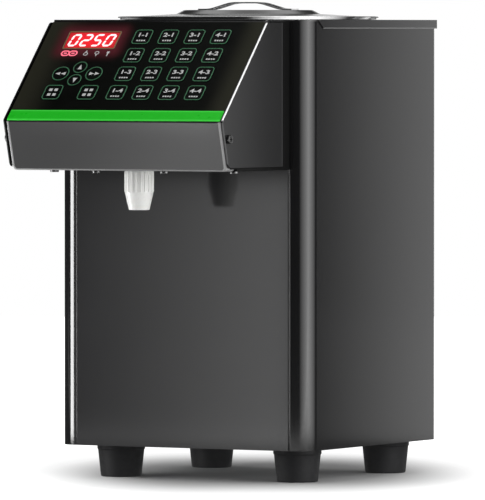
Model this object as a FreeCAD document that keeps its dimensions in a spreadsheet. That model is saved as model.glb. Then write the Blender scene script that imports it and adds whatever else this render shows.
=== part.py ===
import FreeCAD, Part
import math
import os
import Sketcher

# Fructose dispenser: a counter-top machine that doses syrup through a nozzle under its sloping head.
# Millimetres, +X to the viewer's right, +Z up, front towards -Y, origin on the floor under the middle.
# Every place behind or before the front panel is counted from the panel's outer face.

os.makedirs("parts", exist_ok=True)
doc = FreeCAD.newDocument("fructose_dispenser")
sheet = doc.addObject("Spreadsheet::Sheet", "Sizes")

SIZES = {
    # Case
    "body_width": 260.0,
    "body_depth": 246.0,
    "body_top": 418.0,
    "body_bottom": 30.4,
    "case_sheet": 1.2,
    "seam_inset": 19.0,
    "seam_gap": 0.6,
    "lip_depth": 14.0,
    "lip_bend": 0.7,
    "lip_flat": 0.3,
    "rear_bend": 3.0,
    "sheet_fit": 0.5,
    "base_flange": 15.0,
    "base_flange_start": 30.0,
    # Top cover
    "cover_sheet": 1.5,
    "cover_flange": 8.0,
    "cover_flange_sheet": 1.0,
    "cover_flange_gap": 0.1,
    "cover_bevel": 9.0,
    "cover_head_margin": 2.4,
    "cover_corner": 3.0,
    "cover_edge_round": 0.5,
    # Rubber feet
    "foot_inset": 37.9,
    "foot_front": 50.3,
    "foot_rear": 26.8,
    "foot_top_radius": 21.9,
    "foot_low_radius": 18.6,
    "foot_hole_radius": 7.0,
    "foot_floor": 8.0,
    # Screws
    "screw_head_radius": 4.0,
    "screw_head_height": 2.6,
    "screw_shank_radius": 2.0,
    "screw_length": 8.0,
    "screw_fit": 0.15,
    "cover_screw_inset": 45.0,
    # Syrup tank
    "tank_set_back": 1.2,
    "tank_side_room": 24.8,
    "tank_end_room": 18.9,
    "tank_wall": 1.0,
    "tank_cone": 16.0,
    "tank_flange": 9.0,
    "tank_fit": 0.5,
    "outlet_radius": 10.0,
    "outlet_neck": 14.0,
    "gasket_width": 7.0,
    "gasket_height": 1.2,
    # Tank outlet fitting
    "fitting_nut_radius": 15.0,
    "fitting_nut_height": 9.0,
    "barb_radius": 5.0,
    "barb_length": 18.0,
    "barb_bore": 3.2,
    "barb_fit": 0.05,
    # Lid
    "lid_reach": 15.5,
    "lid_sheet": 1.0,
    "lid_rim_drop": 2.2,
    "lid_rise": 2.2,
    "lid_shoulder_radius": 66.0,
    "lid_step": 3.6,
    "lid_plateau_radius": 59.0,
    "lid_dish_radius": 36.0,
    "lid_dish_floor": 27.0,
    "lid_dish_depth": 15.0,
    "lid_skirt_fit": 1.2,
    "lid_skirt_height": 9.0,
    # Lid handle strap
    "handle_half_span": 38.0,
    "handle_rise": 7.5,
    "handle_strap": 2.0,
    "handle_width": 14.0,
    "handle_tab": 11.0,
    # Head
    "head_inset": 17.0,
    "head_reach": 125.2,
    "head_height": 134.8,
    "knee_drop": 89.9,
    "slope_angle": 46.8,
    "lower_angle": 15.1,
    "side_plate": 1.4,
    "side_gap": 1.3,
    "side_rear_gap": 14.5,
    "side_top_gap": 2.4,
    "side_bottom_gap": 3.0,
    "side_round": 0.5,
    "side_corner": 5.0,
    "side_knee_round": 3.0,
    "face_inset": 0.4,
    "head_sheet": 1.2,
    "head_flange": 14.0,
    "head_bend": 1.2,
    "head_corner": 4.0,
    "knee_round": 1.5,
    "frame_inset": 5.0,
    "frame_rail": 24.0,
    "head_plate": 2.0,
    "head_plate_side_margin": 0.8,
    "head_plate_round": 0.8,
    "side_screw_back": 10.9,
    "side_screw_rise": 6.35,
    "outer_screw_inset": 20.0,
    "outer_screw_back": 57.2,
    "inner_screw_spread": 70.0,
    "inner_screw_back": 33.2,
    # Keypad
    "layout_half_width": 110.3,
    "layout_drop": 89.9,
    "foil_sheet": 0.8,
    "foil_side_margin": 0.8,
    "foil_top_margin": 2.4,
    "stripe_height": 12.0,
    "stripe_low_margin": 0.7,
    "stripe_gap": 0.2,
    "foil_corner": 0.6,
    "key_side_gap": 7.45,
    "key_end_gap": 3.9,
    "key_corner": 3.6,
    "key_proud": 0.25,
    "key_travel": 0.5,
    "key_clearance": 0.1,
    "key_column_first": -9.0,
    "key_column_pitch": 26.85,
    "key_row_first": 34.3,
    "key_row_pitch": 22.7,
    "arrow_centre_across": -58.6,
    "arrow_centre_up": 57.1,
    "arrow_side_step": 17.3,
    "arrow_up_step": 7.7,
    "arrow_side_radius": 8.6,
    "arrow_up_radius": 7.1,
    "set_key_centre": -57.0,
    "set_key_pitch": 36.6,
    # Display
    "display_across": -59.9,
    "display_up": 98.5,
    "display_width": 52.0,
    "display_height": 19.2,
    "display_fit": 0.2,
    "display_sunk": 0.3,
    # Control board
    "board_drop": 4.2,
    "board_sheet": 1.6,
    "board_side_gap": 8.3,
    "board_length": 104.0,
    "board_low": 12.5,
    "dome_size": 6.0,
    "dome_gap": 0.1,
    "chip_width": 14.0,
    "chip_height": 1.8,
    "chip_step": 40.0,
    "pillar_radius": 3.0,
    "pillar_edge": 5.0,
    # Nozzle
    "nozzle_back": 48.7,
    "nozzle_radius": 12.8,
    "nozzle_length": 35.4,
    "nozzle_taper": 15.4,
    "nozzle_tip_radius": 9.2,
    "nozzle_wall": 1.8,
    "nozzle_gap": 0.2,
    "nozzle_room": 1.0,
    "rib_height": 0.6,
    "rib_width": 1.5,
    "rib_overlap": 0.4,
    "rib_count": 20.0,
    "spigot_radius": 9.0,
    "spigot_length": 14.0,
    "spigot_fit": 0.1,
    "nozzle_flange_radius": 17.0,
    "nozzle_flange_height": 4.0,
    "nozzle_neck_height": 6.0,
    # Pump
    "pump_front": 62.0,
    "pump_cover_depth": 8.0,
    "pump_half_width": 30.0,
    "pump_depth": 26.0,
    "pump_floor": 50.0,
    "pump_height": 62.0,
    "gear_module": 2.0,
    "gear_teeth": 12.0,
    "gear_pressure_angle": 25.0,
    "gear_addendum_share": 0.8,
    "gear_dedendum_share": 1.05,
    "gear_width": 17.6,
    "gear_end_fit": 0.1,
    "gear_tip_fit": 0.3,
    "gear_backlash": 0.2,
    "shaft_radius": 4.0,
    "shaft_fit": 0.1,
    "drive_height": 68.0,
    "port_bore": 3.6,
    "port_collar_radius": 8.0,
    "port_collar_length": 4.0,
    # Motor and bracket
    "bracket_sheet": 3.0,
    "bracket_half_width": 32.0,
    "bracket_foot": 60.0,
    "bracket_hole_radius": 9.0,
    "motor_radius": 27.0,
    "motor_length": 88.0,
    "motor_boss_radius": 8.8,
    "motor_cap_length": 12.0,
    "motor_cap_radius": 22.0,
    "motor_shaft_depth": 40.0,
    "bracket_screw_spread": 50.0,
    "bracket_screw_start": 20.0,
    "bracket_screw_pitch": 28.0,
    # Hoses
    "hose_radius": 7.0,
    "hose_bend": 20.0,
    "suction_side": 75.0,
    "suction_room": 12.0,
    "delivery_margin": 13.0,
    "delivery_back": 21.0,
    "delivery_rise": 51.8,
    "clamp_sheet": 1.2,
    "clamp_width": 8.0,
    "clamp_set_back": 4.0,
    "hose_hole_fit": 2.0,
    # Power supply
    "supply_inset": 12.0,
    "supply_width": 60.0,
    "supply_rear_gap": 14.0,
    "supply_length": 104.0,
    "supply_height": 40.0,
    # Power inlet
    "window_fit": 0.25,
    "inlet_inset": 70.0,
    "inlet_height": 75.0,
    "inlet_width": 27.0,
    "inlet_tall": 20.0,
    "inlet_depth": 20.0,
    "inlet_wall": 2.0,
    "inlet_flange": 2.5,
    "inlet_flange_sheet": 1.5,
    "inlet_pocket": 14.0,
    "inlet_pin_width": 2.0,
    "inlet_pin_tall": 5.0,
    "inlet_pin_length": 10.0,
    "inlet_pin_pitch": 7.0,
    "inlet_pin_rise": 2.0,
    # Rocker switch
    "switch_inset": 70.0,
    "switch_height": 110.0,
    "switch_width": 19.0,
    "switch_tall": 13.0,
    "switch_depth": 16.0,
    "switch_wall": 1.4,
    "switch_flange": 1.6,
    "switch_flange_sheet": 1.6,
    "switch_well": 11.0,
    "rocker_gap": 0.4,
    "rocker_tilt": 10.0,
    "rocker_front": 1.5,
    "rocker_depth": 5.0,
    "rocker_pivot_radius": 1.6,
    # Rear vents
    "vent_width": 70.0,
    "vent_slot": 4.0,
    "vent_pitch": 9.0,
    "vent_drop": 168.0,
    "vent_count": 10.0,
    # One overrun for every cut
    "overrun": 1.0,
}


class Size:
    """A length as a number and as the formula that the sheet works out."""

    def __init__(self, value, formula):
        self.value = value
        self.formula = formula

    @staticmethod
    def read(other):
        if isinstance(other, Size):
            return other
        return Size(float(other), "%.12g" % other)

    def join(self, other, sign, value):
        return Size(value, "(%s %s %s)" % (self.formula, sign, other.formula))

    def __add__(self, other):
        other = Size.read(other)
        return self.join(other, "+", self.value + other.value)

    def __sub__(self, other):
        other = Size.read(other)
        return self.join(other, "-", self.value - other.value)

    def __mul__(self, other):
        other = Size.read(other)
        return self.join(other, "*", self.value * other.value)

    def __truediv__(self, other):
        other = Size.read(other)
        return self.join(other, "/", self.value / other.value)

    def __neg__(self):
        return Size(-self.value, "(-%s)" % self.formula)


ZERO = Size(0.0, "0")


def sine(angle):
    return Size(math.sin(math.radians(angle.value)), "sin(%s)" % angle.formula)


def cosine(angle):
    return Size(math.cos(math.radians(angle.value)), "cos(%s)" % angle.formula)


def tangent(angle):
    return sine(angle) / cosine(angle)


def smaller(one, other):
    return Size(min(one.value, other.value), "min(%s; %s)" % (one.formula, other.formula))


class Sheet:
    """The named sizes of the sheet, read as attributes."""


s = Sheet()
for line, (alias, number) in enumerate(SIZES.items(), start=1):
    sheet.set("A%d" % line, alias)
    sheet.set("B%d" % line, "%.10g" % number)
    sheet.setAlias("B%d" % line, alias)
    setattr(s, alias, Size(number, "Sizes." + alias))
doc.recompute()

PIECES = []


def piece(thing, label):
    thing.Label = label
    PIECES.append(thing)
    return thing


# Shared places

rear_proud = s.cover_flange_gap + s.cover_flange_sheet + s.screw_head_height
front = (s.head_reach - s.body_depth - rear_proud) / 2
case_half = s.body_width / 2
under_cover = s.body_top - s.cover_sheet
rear_face = front + s.body_depth
seam_place = case_half - s.seam_inset
shell_corner = s.seam_inset - s.case_sheet - s.lip_flat
screw_hole = s.screw_shank_radius + s.screw_fit

head_half_width = case_half - s.head_inset
head_low = s.body_top - s.head_height
knee_height = s.body_top - s.knee_drop
knee_y = front - s.head_reach
bend_sum = cosine(s.slope_angle - s.lower_angle)
plate_inner = head_half_width - s.side_plate
cover_half = plate_inner - s.side_gap
face_depth = s.face_inset + s.foil_sheet
nozzle_y = knee_y + s.nozzle_back

tank_y = front + s.body_depth / 2 + s.tank_set_back
tank_radius = smaller(case_half - s.case_sheet - s.tank_side_room, s.body_depth / 2 - s.tank_end_room)
tank_flange_radius = tank_radius + s.tank_flange
lid_radius = tank_radius + s.lid_reach

pump_top = s.pump_floor + s.pump_height
suction_level = pump_top + s.suction_room
outlet_low = suction_level + s.hose_bend + s.barb_length + s.tank_wall * 2
delivery_reach = s.pump_half_width + s.port_collar_length + s.barb_length + s.hose_bend
delivery_side = (delivery_reach + seam_place - s.delivery_margin) / 2
delivery_level = head_low + s.delivery_rise


def slope_y(height, depth):
    """The place of the slope, set back by a depth, at a height."""
    along = (height - knee_height) * cosine(s.slope_angle) / sine(s.slope_angle)
    return knee_y + along + depth / sine(s.slope_angle)


def lower_y(height, depth):
    """The place of the raked lower face, set back by a depth, at a height."""
    return knee_y + (knee_height - height) * tangent(s.lower_angle) + depth / cosine(s.lower_angle)


def knee_point(slope_depth, lower_depth):
    """The corner between the slope and the lower face, each set back by a depth."""
    along = lower_depth / bend_sum
    down = slope_depth / bend_sum
    y = knee_y + along * cosine(s.slope_angle) + down * sine(s.lower_angle)
    z = knee_height + along * sine(s.slope_angle) - down * cosine(s.lower_angle)
    return (y, z)


# Helpers that build and bind

TURNS = {
    "z": FreeCAD.Rotation(),
    "x": FreeCAD.Rotation(FreeCAD.Vector(0, 1, 0), 90),
    "y": FreeCAD.Rotation(FreeCAD.Vector(1, 0, 0), -90),
    "slope": FreeCAD.Rotation(FreeCAD.Vector(1, 0, 0), 1),
}


def bind(thing, prop, size):
    thing.setExpression(prop, Size.read(size).formula)


def place(thing, x, y, z, turn="z"):
    thing.Placement = FreeCAD.Placement(FreeCAD.Vector(0, 0, 0), TURNS[turn])
    bind(thing, "Placement.Base.x", x)
    bind(thing, "Placement.Base.y", y)
    bind(thing, "Placement.Base.z", z)
    if turn == "slope":
        bind(thing, "Placement.Rotation.Angle", s.slope_angle)
    return thing


def on_slope(thing, across, up, out):
    """Set a thing on the slope: across in X, up along the slope, out along its normal."""
    y = knee_y + up * cosine(s.slope_angle) - out * sine(s.slope_angle)
    z = knee_height + up * sine(s.slope_angle) + out * cosine(s.slope_angle)
    return place(thing, across, y, z, "slope")


def block(name, low, high):
    thing = doc.addObject("Part::Box", name)
    for prop, low_side, high_side in zip(("Length", "Width", "Height"), low, high):
        bind(thing, prop, Size.read(high_side) - low_side)
    return place(thing, *low)


def slope_block(name, across, up, out, width, length, height):
    """A block whose middle stands at a place on the slope and whose base is at out."""
    thing = doc.addObject("Part::Box", name)
    bind(thing, "Length", width)
    bind(thing, "Width", length)
    bind(thing, "Height", height)
    return on_slope(thing, across - width / 2, up - length / 2, out)


def rod(name, base, radius, length, turn="z"):
    thing = doc.addObject("Part::Cylinder", name)
    bind(thing, "Radius", radius)
    bind(thing, "Height", length)
    return place(thing, *base, turn)


def slope_rod(name, across, up, out, radius, height):
    thing = doc.addObject("Part::Cylinder", name)
    bind(thing, "Radius", radius)
    bind(thing, "Height", height)
    return on_slope(thing, across, up, out)


def fuse(name, things):
    thing = doc.addObject("Part::MultiFuse", name)
    thing.Shapes = things
    thing.Refine = True
    return thing


def cut(name, base, tools):
    thing = doc.addObject("Part::Cut", name)
    thing.Base = base
    thing.Tool = tools[0] if len(tools) == 1 else fuse(name + "_tools", tools)
    return thing


def common(name, things):
    thing = doc.addObject("Part::MultiCommon", name)
    thing.Shapes = things
    return thing


def group(name, things):
    thing = doc.addObject("Part::Compound", name)
    thing.Links = things
    return thing


def new_body(name, role, points):
    """A body with one sketch: straight sides between points, each tied to the origin."""
    body = doc.addObject("PartDesign::Body", name)
    plane = [f for f in body.Origin.OriginFeatures if f.Role == role][0]
    sketch = body.newObject("Sketcher::SketchObject", name + "_sketch")
    sketch.AttachmentSupport = (plane, [""])
    sketch.MapMode = "FlatFace"
    points = [(Size.read(a), Size.read(b)) for a, b in points]
    corners = [FreeCAD.Vector(a.value, b.value, 0) for a, b in points]
    count = len(points)
    for i, corner in enumerate(corners):
        sketch.addGeometry(Part.LineSegment(corner, corners[(i + 1) % count]), False)
    for i in range(count):
        sketch.addConstraint(Sketcher.Constraint("Coincident", i, 2, (i + 1) % count, 1))
    for i, point in enumerate(points):
        for size, kind, axis in zip(point, ("DistanceX", "DistanceY"), (-2, -1)):
            if size.value == 0.0:
                sketch.addConstraint(Sketcher.Constraint("PointOnObject", i, 1, axis))
                continue
            index = sketch.addConstraint(Sketcher.Constraint(kind, -1, 1, i, 1, size.value))
            sketch.setExpression("Constraints[%d]" % index, size.formula)
    return body, sketch


def prism(name, role, points, depth):
    body, sketch = new_body(name, role, points)
    pad = body.newObject("PartDesign::Pad", name + "_pad")
    pad.Profile = sketch
    bind(pad, "Length", depth)
    body.Tip = pad
    return body


def turned(name, points, x, y, z):
    """A round piece: points are radius and height, about its own upright axis."""
    body, sketch = new_body(name, "XZ_Plane", points)
    turn = body.newObject("PartDesign::Revolution", name + "_turn")
    turn.Profile = sketch
    turn.ReferenceAxis = (sketch, ["V_Axis"])
    turn.Angle = 360
    body.Tip = turn
    return place(body, x, y, z)


def round_edges(body, radius, wanted):
    """Round the edges of the body's last feature whose middle and direction are wanted."""
    doc.recompute()
    base = body.Tip
    names = []
    for number, edge in enumerate(base.Shape.Edges, start=1):
        middle = edge.valueAt((edge.FirstParameter + edge.LastParameter) / 2)
        ends = [v.Point for v in edge.Vertexes]
        if len(ends) == 2 and wanted(middle, (ends[1] - ends[0]).normalize()):
            names.append("Edge%d" % number)
    fillet = body.newObject("PartDesign::Fillet", base.Name + "_round")
    fillet.Base = (base, names)
    bind(fillet, "Radius", radius)
    body.Tip = fillet
    return body


def slab(name, width, length, height, corner):
    """A plate about its own middle, with its upright edges rounded."""
    half_w = width / 2
    half_l = length / 2
    outline = [(-half_w, -half_l), (half_w, -half_l), (half_w, half_l), (-half_w, half_l)]
    body = prism(name, "XY_Plane", outline, height)
    return round_edges(body, corner, lambda middle, way: abs(way.z) > abs(way.x) + abs(way.y))


def near(value, size):
    """Whether a measured place is the place that a size gives."""
    return abs(value - Size.read(size).value) < s.overrun.value / 100


def upright_at(x, y):
    """Picks the upright edges at a place, on both sides."""
    return lambda middle, way: round(abs(way.z)) == 1 and near(abs(middle.x), x) and near(middle.y, y)


def level_at(y, z):
    """Picks the edges along X at a place."""
    return lambda middle, way: round(abs(way.x)) == 1 and near(middle.y, y) and near(middle.z, z)


# Case

def body_shell():
    """The wrap: left side, back and right side with rounded front corners and turned-in lips."""
    lip = seam_place
    inner = s.case_sheet
    side = case_half
    deep = s.body_depth
    right = [(lip, s.lip_depth), (lip, 0), (side, 0), (side, deep)]
    inside = [
        (side - inner, deep - inner), (side - inner, inner), (lip + inner, inner),
        (lip + inner, s.lip_depth)]
    outline = right + [(-x, y) for x, y in reversed(right)]
    outline += [(-x, y) for x, y in reversed(inside)] + inside
    body = prism("shell_wrap", "XY_Plane", outline, under_cover - s.body_bottom)
    place(body, 0, front, s.body_bottom)

    round_edges(body, shell_corner, upright_at(side, 0))
    round_edges(body, shell_corner - inner, upright_at(side - inner, inner))
    round_edges(body, s.rear_bend, upright_at(side, deep))
    round_edges(body, s.rear_bend - inner, upright_at(side - inner, deep - inner))
    round_edges(body, s.lip_bend, upright_at(lip, 0))

    cuts = []
    slot_half = s.vent_width / 2
    through = (rear_face - s.case_sheet - s.overrun, rear_face + s.overrun)
    for number in range(int(s.vent_count.value)):
        low = s.body_top - s.vent_drop + s.vent_pitch * number
        high = low + s.vent_slot
        cuts.append(block("vent_slot", (-slot_half, through[0], low), (slot_half, through[1], high)))
    for across, height, width, tall in rear_windows():
        cuts.append(block("rear_window",
                          (across - width / 2, through[0], height - tall / 2),
                          (across + width / 2, through[1], height + tall / 2)))
    for x in cover_screw_places():
        cuts.append(rod("shell_screw_hole", (x, through[0], flange_middle()), screw_hole,
                        through[1] - through[0], "y"))
    piece(cut("body_shell", body, cuts), "body_shell")


def rear_windows():
    grow = s.window_fit * 2
    return [
        (inlet_across(), s.inlet_height, s.inlet_width + grow, s.inlet_tall + grow),
        (switch_across(), s.switch_height, s.switch_width + grow, s.switch_tall + grow),
    ]


def inlet_across():
    return case_half - s.inlet_inset


def switch_across():
    return case_half - s.switch_inset


def flange_middle():
    return s.body_top - s.cover_flange / 2 - s.cover_sheet / 2


def cover_screw_places():
    spread = case_half - s.cover_screw_inset
    return (-spread, ZERO, spread)


def front_panel():
    """The flat front between the seams, with side flanges bent back along the lips."""
    side = seam_place - s.seam_gap
    inner = side - s.case_sheet
    deep = s.lip_depth
    outline = [(-side, 0), (side, 0), (side, deep), (inner, deep), (inner, s.case_sheet),
               (-inner, s.case_sheet), (-inner, deep), (-side, deep)]
    body = prism("front_sheet", "XY_Plane", outline, under_cover - s.body_bottom)
    place(body, 0, front, s.body_bottom)
    round_edges(body, s.lip_bend, upright_at(side, 0))
    hole = rod("front_hose_hole", (delivery_side, front - s.overrun, delivery_level),
               s.hose_radius + s.hose_hole_fit, s.case_sheet + s.overrun * 2, "y")
    piece(cut("front_panel", body, [hole]), "front_panel")


def base_plate():
    """The floor of the case, notched round the lips, with a flange up each side."""
    fit = s.sheet_fit
    side = case_half - s.case_sheet - fit
    notch_in = seam_place - s.seam_gap - s.case_sheet - fit
    notch_out = seam_place + s.case_sheet + fit
    near_edge = s.case_sheet + fit
    notch_deep = s.lip_depth + fit
    far_edge = s.body_depth - s.case_sheet - fit
    right = [(notch_in, near_edge), (notch_in, notch_deep), (notch_out, notch_deep),
             (notch_out, near_edge), (side, near_edge), (side, far_edge)]
    outline = right + [(-x, y) for x, y in reversed(right)]
    body = prism("base_sheet", "XY_Plane", outline, s.case_sheet)
    place(body, 0, front, s.body_bottom)
    corner = side - notch_out - s.lip_flat
    round_edges(body, corner, upright_at(side, near_edge))
    round_edges(body, s.rear_bend - s.case_sheet, upright_at(side, far_edge))
    floor = s.body_bottom
    flanges = []
    for sign in (1, -1):
        ends = sorted((side * sign, (side - s.case_sheet) * sign), key=lambda size: size.value)
        flanges.append(block("base_flange", (ends[0], front + s.base_flange_start, floor),
                             (ends[1], front + far_edge - s.base_flange_start, floor + s.base_flange)))
    holes = []
    for x, y in foot_places() + bracket_screw_places():
        holes.append(rod(
            "base_screw_hole", (x, y, floor - s.overrun), screw_hole, s.case_sheet + s.overrun * 2))
    piece(cut("base_plate", fuse("base_whole", [body] + flanges), holes), "base_plate")


def foot_places():
    half = case_half - s.foot_inset
    rows = (front + s.foot_front, rear_face - s.foot_rear)
    return [(x, y) for y in rows for x in (-half, half)]


def bracket_screw_places():
    half = s.bracket_screw_spread / 2
    start = front + s.pump_front + s.pump_cover_depth + s.pump_depth + s.bracket_screw_start
    return [(x, y) for y in (start, start + s.bracket_screw_pitch) for x in (-half, half)]


def rubber_feet():
    """Four tapered feet, each hollow from below for its screw."""
    feet = []
    hole = s.foot_hole_radius
    roof = s.body_bottom - s.foot_floor
    for number, (x, y) in enumerate(foot_places()):
        outline = [(s.foot_low_radius, 0), (s.foot_top_radius, s.body_bottom), (screw_hole, s.body_bottom),
                   (screw_hole, roof), (hole, roof), (hole, 0)]
        feet.append(turned("foot_%d" % number, outline, x, y, 0))
    piece(group("rubber_feet", feet), "rubber_feet")


def screw(name, x, y, z, turn, sign=1):
    """A pan-head screw: its head stands on the place given, its shank runs the other way."""
    along = {"x": (1, 0, 0), "y": (0, 1, 0), "z": (0, 0, 1)}[turn]
    head_foot = ZERO if sign > 0 else -s.screw_head_height
    shank_foot = -s.screw_length if sign > 0 else ZERO

    def moved(offset):
        return tuple(Size.read(p) + offset * a if a else p for p, a in zip((x, y, z), along))

    head = rod(name + "_head", moved(head_foot), s.screw_head_radius, s.screw_head_height, turn)
    shank = rod(name + "_shank", moved(shank_foot), s.screw_shank_radius, s.screw_length, turn)
    return fuse(name, [head, shank])


def case_screws():
    screws = []
    for x, y in foot_places():
        screws.append(screw("foot_screw", x, y, s.body_bottom - s.foot_floor, "z", -1))
    for x, y in bracket_screw_places():
        screws.append(screw("bracket_screw", x, y, s.body_bottom + s.case_sheet + s.bracket_sheet, "z"))
    for x in cover_screw_places():
        screws.append(screw(
            "cover_screw", x, rear_face + s.cover_flange_gap + s.cover_flange_sheet, flange_middle(),
            "y"))
    piece(group("case_screws", screws), "case_screws")


# Top cover, tank and lid

def top_cover():
    """The top sheet over body and head, with flanges down both sides and the back."""
    out = case_half + s.cover_flange_gap + s.cover_flange_sheet
    inner = case_half + s.cover_flange_gap
    head_side = head_half_width - s.cover_head_margin
    nose = (s.body_top - knee_height) * cosine(s.slope_angle) / sine(s.slope_angle) - s.head_reach
    far = s.body_depth + s.cover_flange_gap + s.cover_flange_sheet
    right = [(head_side, nose), (head_side, 0), (out, 0), (out, far)]
    outline = right + [(-x, y) for x, y in reversed(right)]
    body = prism("cover_sheet_body", "XY_Plane", outline, s.cover_sheet)
    place(body, 0, front, under_cover)

    corner = out - head_side - s.lip_flat
    round_edges(body, corner, upright_at(out, 0))
    round_edges(body, s.cover_corner, upright_at(head_side, nose))
    round_edges(body, s.cover_edge_round, level_at(nose, s.cover_sheet))

    side_start = front + corner
    low = s.body_top - s.cover_flange
    outline = [
        (side_start, under_cover), (side_start + s.cover_bevel, low), (front + far, low),
        (front + far, under_cover)]
    parts = [body]
    for x in (inner, -out):
        flange = prism("cover_side_flange", "YZ_Plane", outline, s.cover_flange_sheet)
        parts.append(place(flange, x, 0, 0))
    parts.append(block(
        "cover_rear_flange", (-inner, front + far - s.cover_flange_sheet, low),
        (inner, front + far, under_cover)))
    mouth_radius = tank_radius + s.tank_fit
    mouth = rod("cover_mouth", (0, tank_y, under_cover - s.overrun), mouth_radius,
                s.cover_sheet + s.overrun * 2)
    holes = [mouth]
    for x in cover_screw_places():
        holes.append(rod("cover_screw_hole", (x, rear_face, flange_middle()), screw_hole,
                         s.cover_flange_sheet + s.overrun * 2, "y"))
    piece(cut("top_cover", fuse("cover_whole", parts), holes), "top_cover")


def syrup_tank():
    """The tank hangs by its flange in the cover and drains through a neck in its cone."""
    rim = s.body_top
    thick = s.tank_wall
    neck = s.outlet_radius
    low = outlet_low
    cone_foot = low + s.outlet_neck
    wall_foot = cone_foot + s.tank_cone
    outline = [
        (tank_flange_radius, rim), (tank_flange_radius, rim + thick), (tank_radius - thick, rim + thick),
        (tank_radius - thick, wall_foot + thick), (neck - thick, cone_foot + thick), (neck - thick, low),
        (neck, low), (neck, cone_foot), (tank_radius, wall_foot), (tank_radius, rim),
    ]
    piece(turned("syrup_tank", outline, 0, tank_y, 0), "syrup_tank")


def tank_gasket():
    low = s.body_top + s.tank_wall
    outer = tank_flange_radius - s.tank_wall
    inner = outer - s.gasket_width
    outline = [(inner, low), (outer, low), (outer, low + s.gasket_height), (inner, low + s.gasket_height)]
    piece(turned("tank_gasket", outline, 0, tank_y, 0), "tank_gasket")


def tank_outlet():
    """A nut with a hose barb, screwed over the tank's neck."""
    neck_low = outlet_low
    nut_low = neck_low - s.tank_wall * 2
    barb = s.barb_radius - s.barb_fit
    over_neck = s.outlet_radius + s.barb_fit
    outline = [
        (s.barb_bore, nut_low - s.barb_length), (barb, nut_low - s.barb_length), (barb, nut_low),
        (s.fitting_nut_radius, nut_low), (s.fitting_nut_radius, neck_low + s.fitting_nut_height),
        (over_neck, neck_low + s.fitting_nut_height), (over_neck, neck_low), (s.barb_bore, neck_low),
    ]
    piece(turned("tank_outlet", outline, 0, tank_y, 0), "tank_outlet")


def lid_base():
    """Underside of the lid's flat rim, resting on the gasket."""
    return s.body_top + s.tank_wall + s.gasket_height


def lid_top():
    return lid_base() + s.lid_rise + s.lid_step + s.lid_sheet


def lid_disc():
    """The pressed lid: flat rim, gentle rise, plateau, and a finger dish in the middle."""
    low = lid_base()
    thick = s.lid_sheet
    skirt_out = tank_radius - s.tank_wall - s.lid_skirt_fit
    skirt_in = skirt_out - thick
    shoulder = low + s.lid_rise
    plateau = shoulder + s.lid_step
    dish = plateau - s.lid_dish_depth
    outline = [
        (0, dish), (s.lid_dish_floor, dish), (s.lid_dish_radius, plateau), (s.lid_plateau_radius, plateau),
        (s.lid_shoulder_radius, shoulder), (skirt_in, low), (skirt_in, low - s.lid_skirt_height),
        (skirt_out, low - s.lid_skirt_height), (skirt_out, low), (lid_radius - thick, low),
        (lid_radius - thick, low + thick - s.lid_rim_drop), (lid_radius, low + thick - s.lid_rim_drop),
        (lid_radius, low + thick), (skirt_in, low + thick), (s.lid_shoulder_radius, shoulder + thick),
        (s.lid_plateau_radius, plateau + thick), (s.lid_dish_radius, plateau + thick),
        (s.lid_dish_floor, dish + thick), (0, dish + thick),
    ]
    piece(turned("lid_disc", outline, 0, tank_y, 0), "lid_disc")


def lid_handle():
    """A flat strap bent to a low arch over the dish, with a tab welded down at each end."""
    base = lid_top()
    span = s.handle_half_span
    rise = s.handle_rise
    radius = (span * span + rise * rise) / (rise * 2)
    half = s.handle_width / 2
    centre = base + rise - radius
    outer = rod("handle_outer", (0, tank_y - half, centre), radius, s.handle_width, "y")
    inner = rod("handle_inner", (0, tank_y - half - s.overrun, centre), radius - s.handle_strap,
                s.handle_width + s.overrun * 2, "y")
    above = block("handle_above", (-span, tank_y - half, base), (span, tank_y + half, base + rise))
    arch = common("handle_arch", [cut("handle_ring", outer, [inner]), above])
    tabs = []
    for sign in (1, -1):
        foot = span - s.handle_strap * 2
        ends = sorted((foot * sign, (span + s.handle_tab) * sign), key=lambda size: size.value)
        tabs.append(block(
            "handle_tab_piece", (ends[0], tank_y - half, base),
            (ends[1], tank_y + half, base + s.handle_strap / 2)))
    piece(fuse("lid_handle", [arch] + tabs), "lid_handle")


# Head

def head_frame():
    """The inner frame of the head: back wall, two side walls and a turned-in bottom rail."""
    low = head_low + s.head_plate
    top = under_cover
    inset = face_depth + s.frame_inset
    wall = plate_inner
    knee = knee_point(inset, inset)
    outline = [(front, low), (front, top), (slope_y(top, inset), top), knee, (lower_y(low, inset), low)]
    whole = place(prism("frame_block", "YZ_Plane", outline, wall * 2), -wall, 0, 0)
    hollow = [(front - s.head_sheet, low + s.head_sheet), (front - s.head_sheet, top + s.overrun),
              (knee_y - s.overrun, top + s.overrun), (knee_y - s.overrun, low + s.head_sheet)]
    inner = wall - s.head_sheet
    room = place(prism("frame_room", "YZ_Plane", hollow, inner * 2), -inner, 0, 0)
    rail_front = lip_back()
    rail_back = rail_front + s.frame_rail
    side_strip = wall - s.frame_rail
    window = block(
        "frame_floor_window", (-side_strip, rail_back, low - s.overrun),
        (side_strip, front - s.frame_rail, low + s.head_sheet + s.overrun))
    lip = block(
        "frame_front_cut", (-inner, knee_y, low - s.overrun),
        (inner, rail_front, low + s.head_sheet + s.overrun))
    hose = rod("frame_hose_hole", (delivery_side, front - s.head_sheet - s.overrun, delivery_level),
               s.hose_radius + s.hose_hole_fit, s.head_sheet + s.overrun * 2, "y")
    flange_room = s.nozzle_flange_radius + s.nozzle_room
    nozzle = rod("frame_nozzle_hole", (0, nozzle_y, low - s.overrun), flange_room,
                 s.head_sheet + s.overrun * 2)
    holes = [room, window, lip, hose, nozzle] + side_screw_holes("frame") + bottom_screw_holes("frame")
    piece(cut("head_frame", whole, holes), "head_frame")


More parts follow.
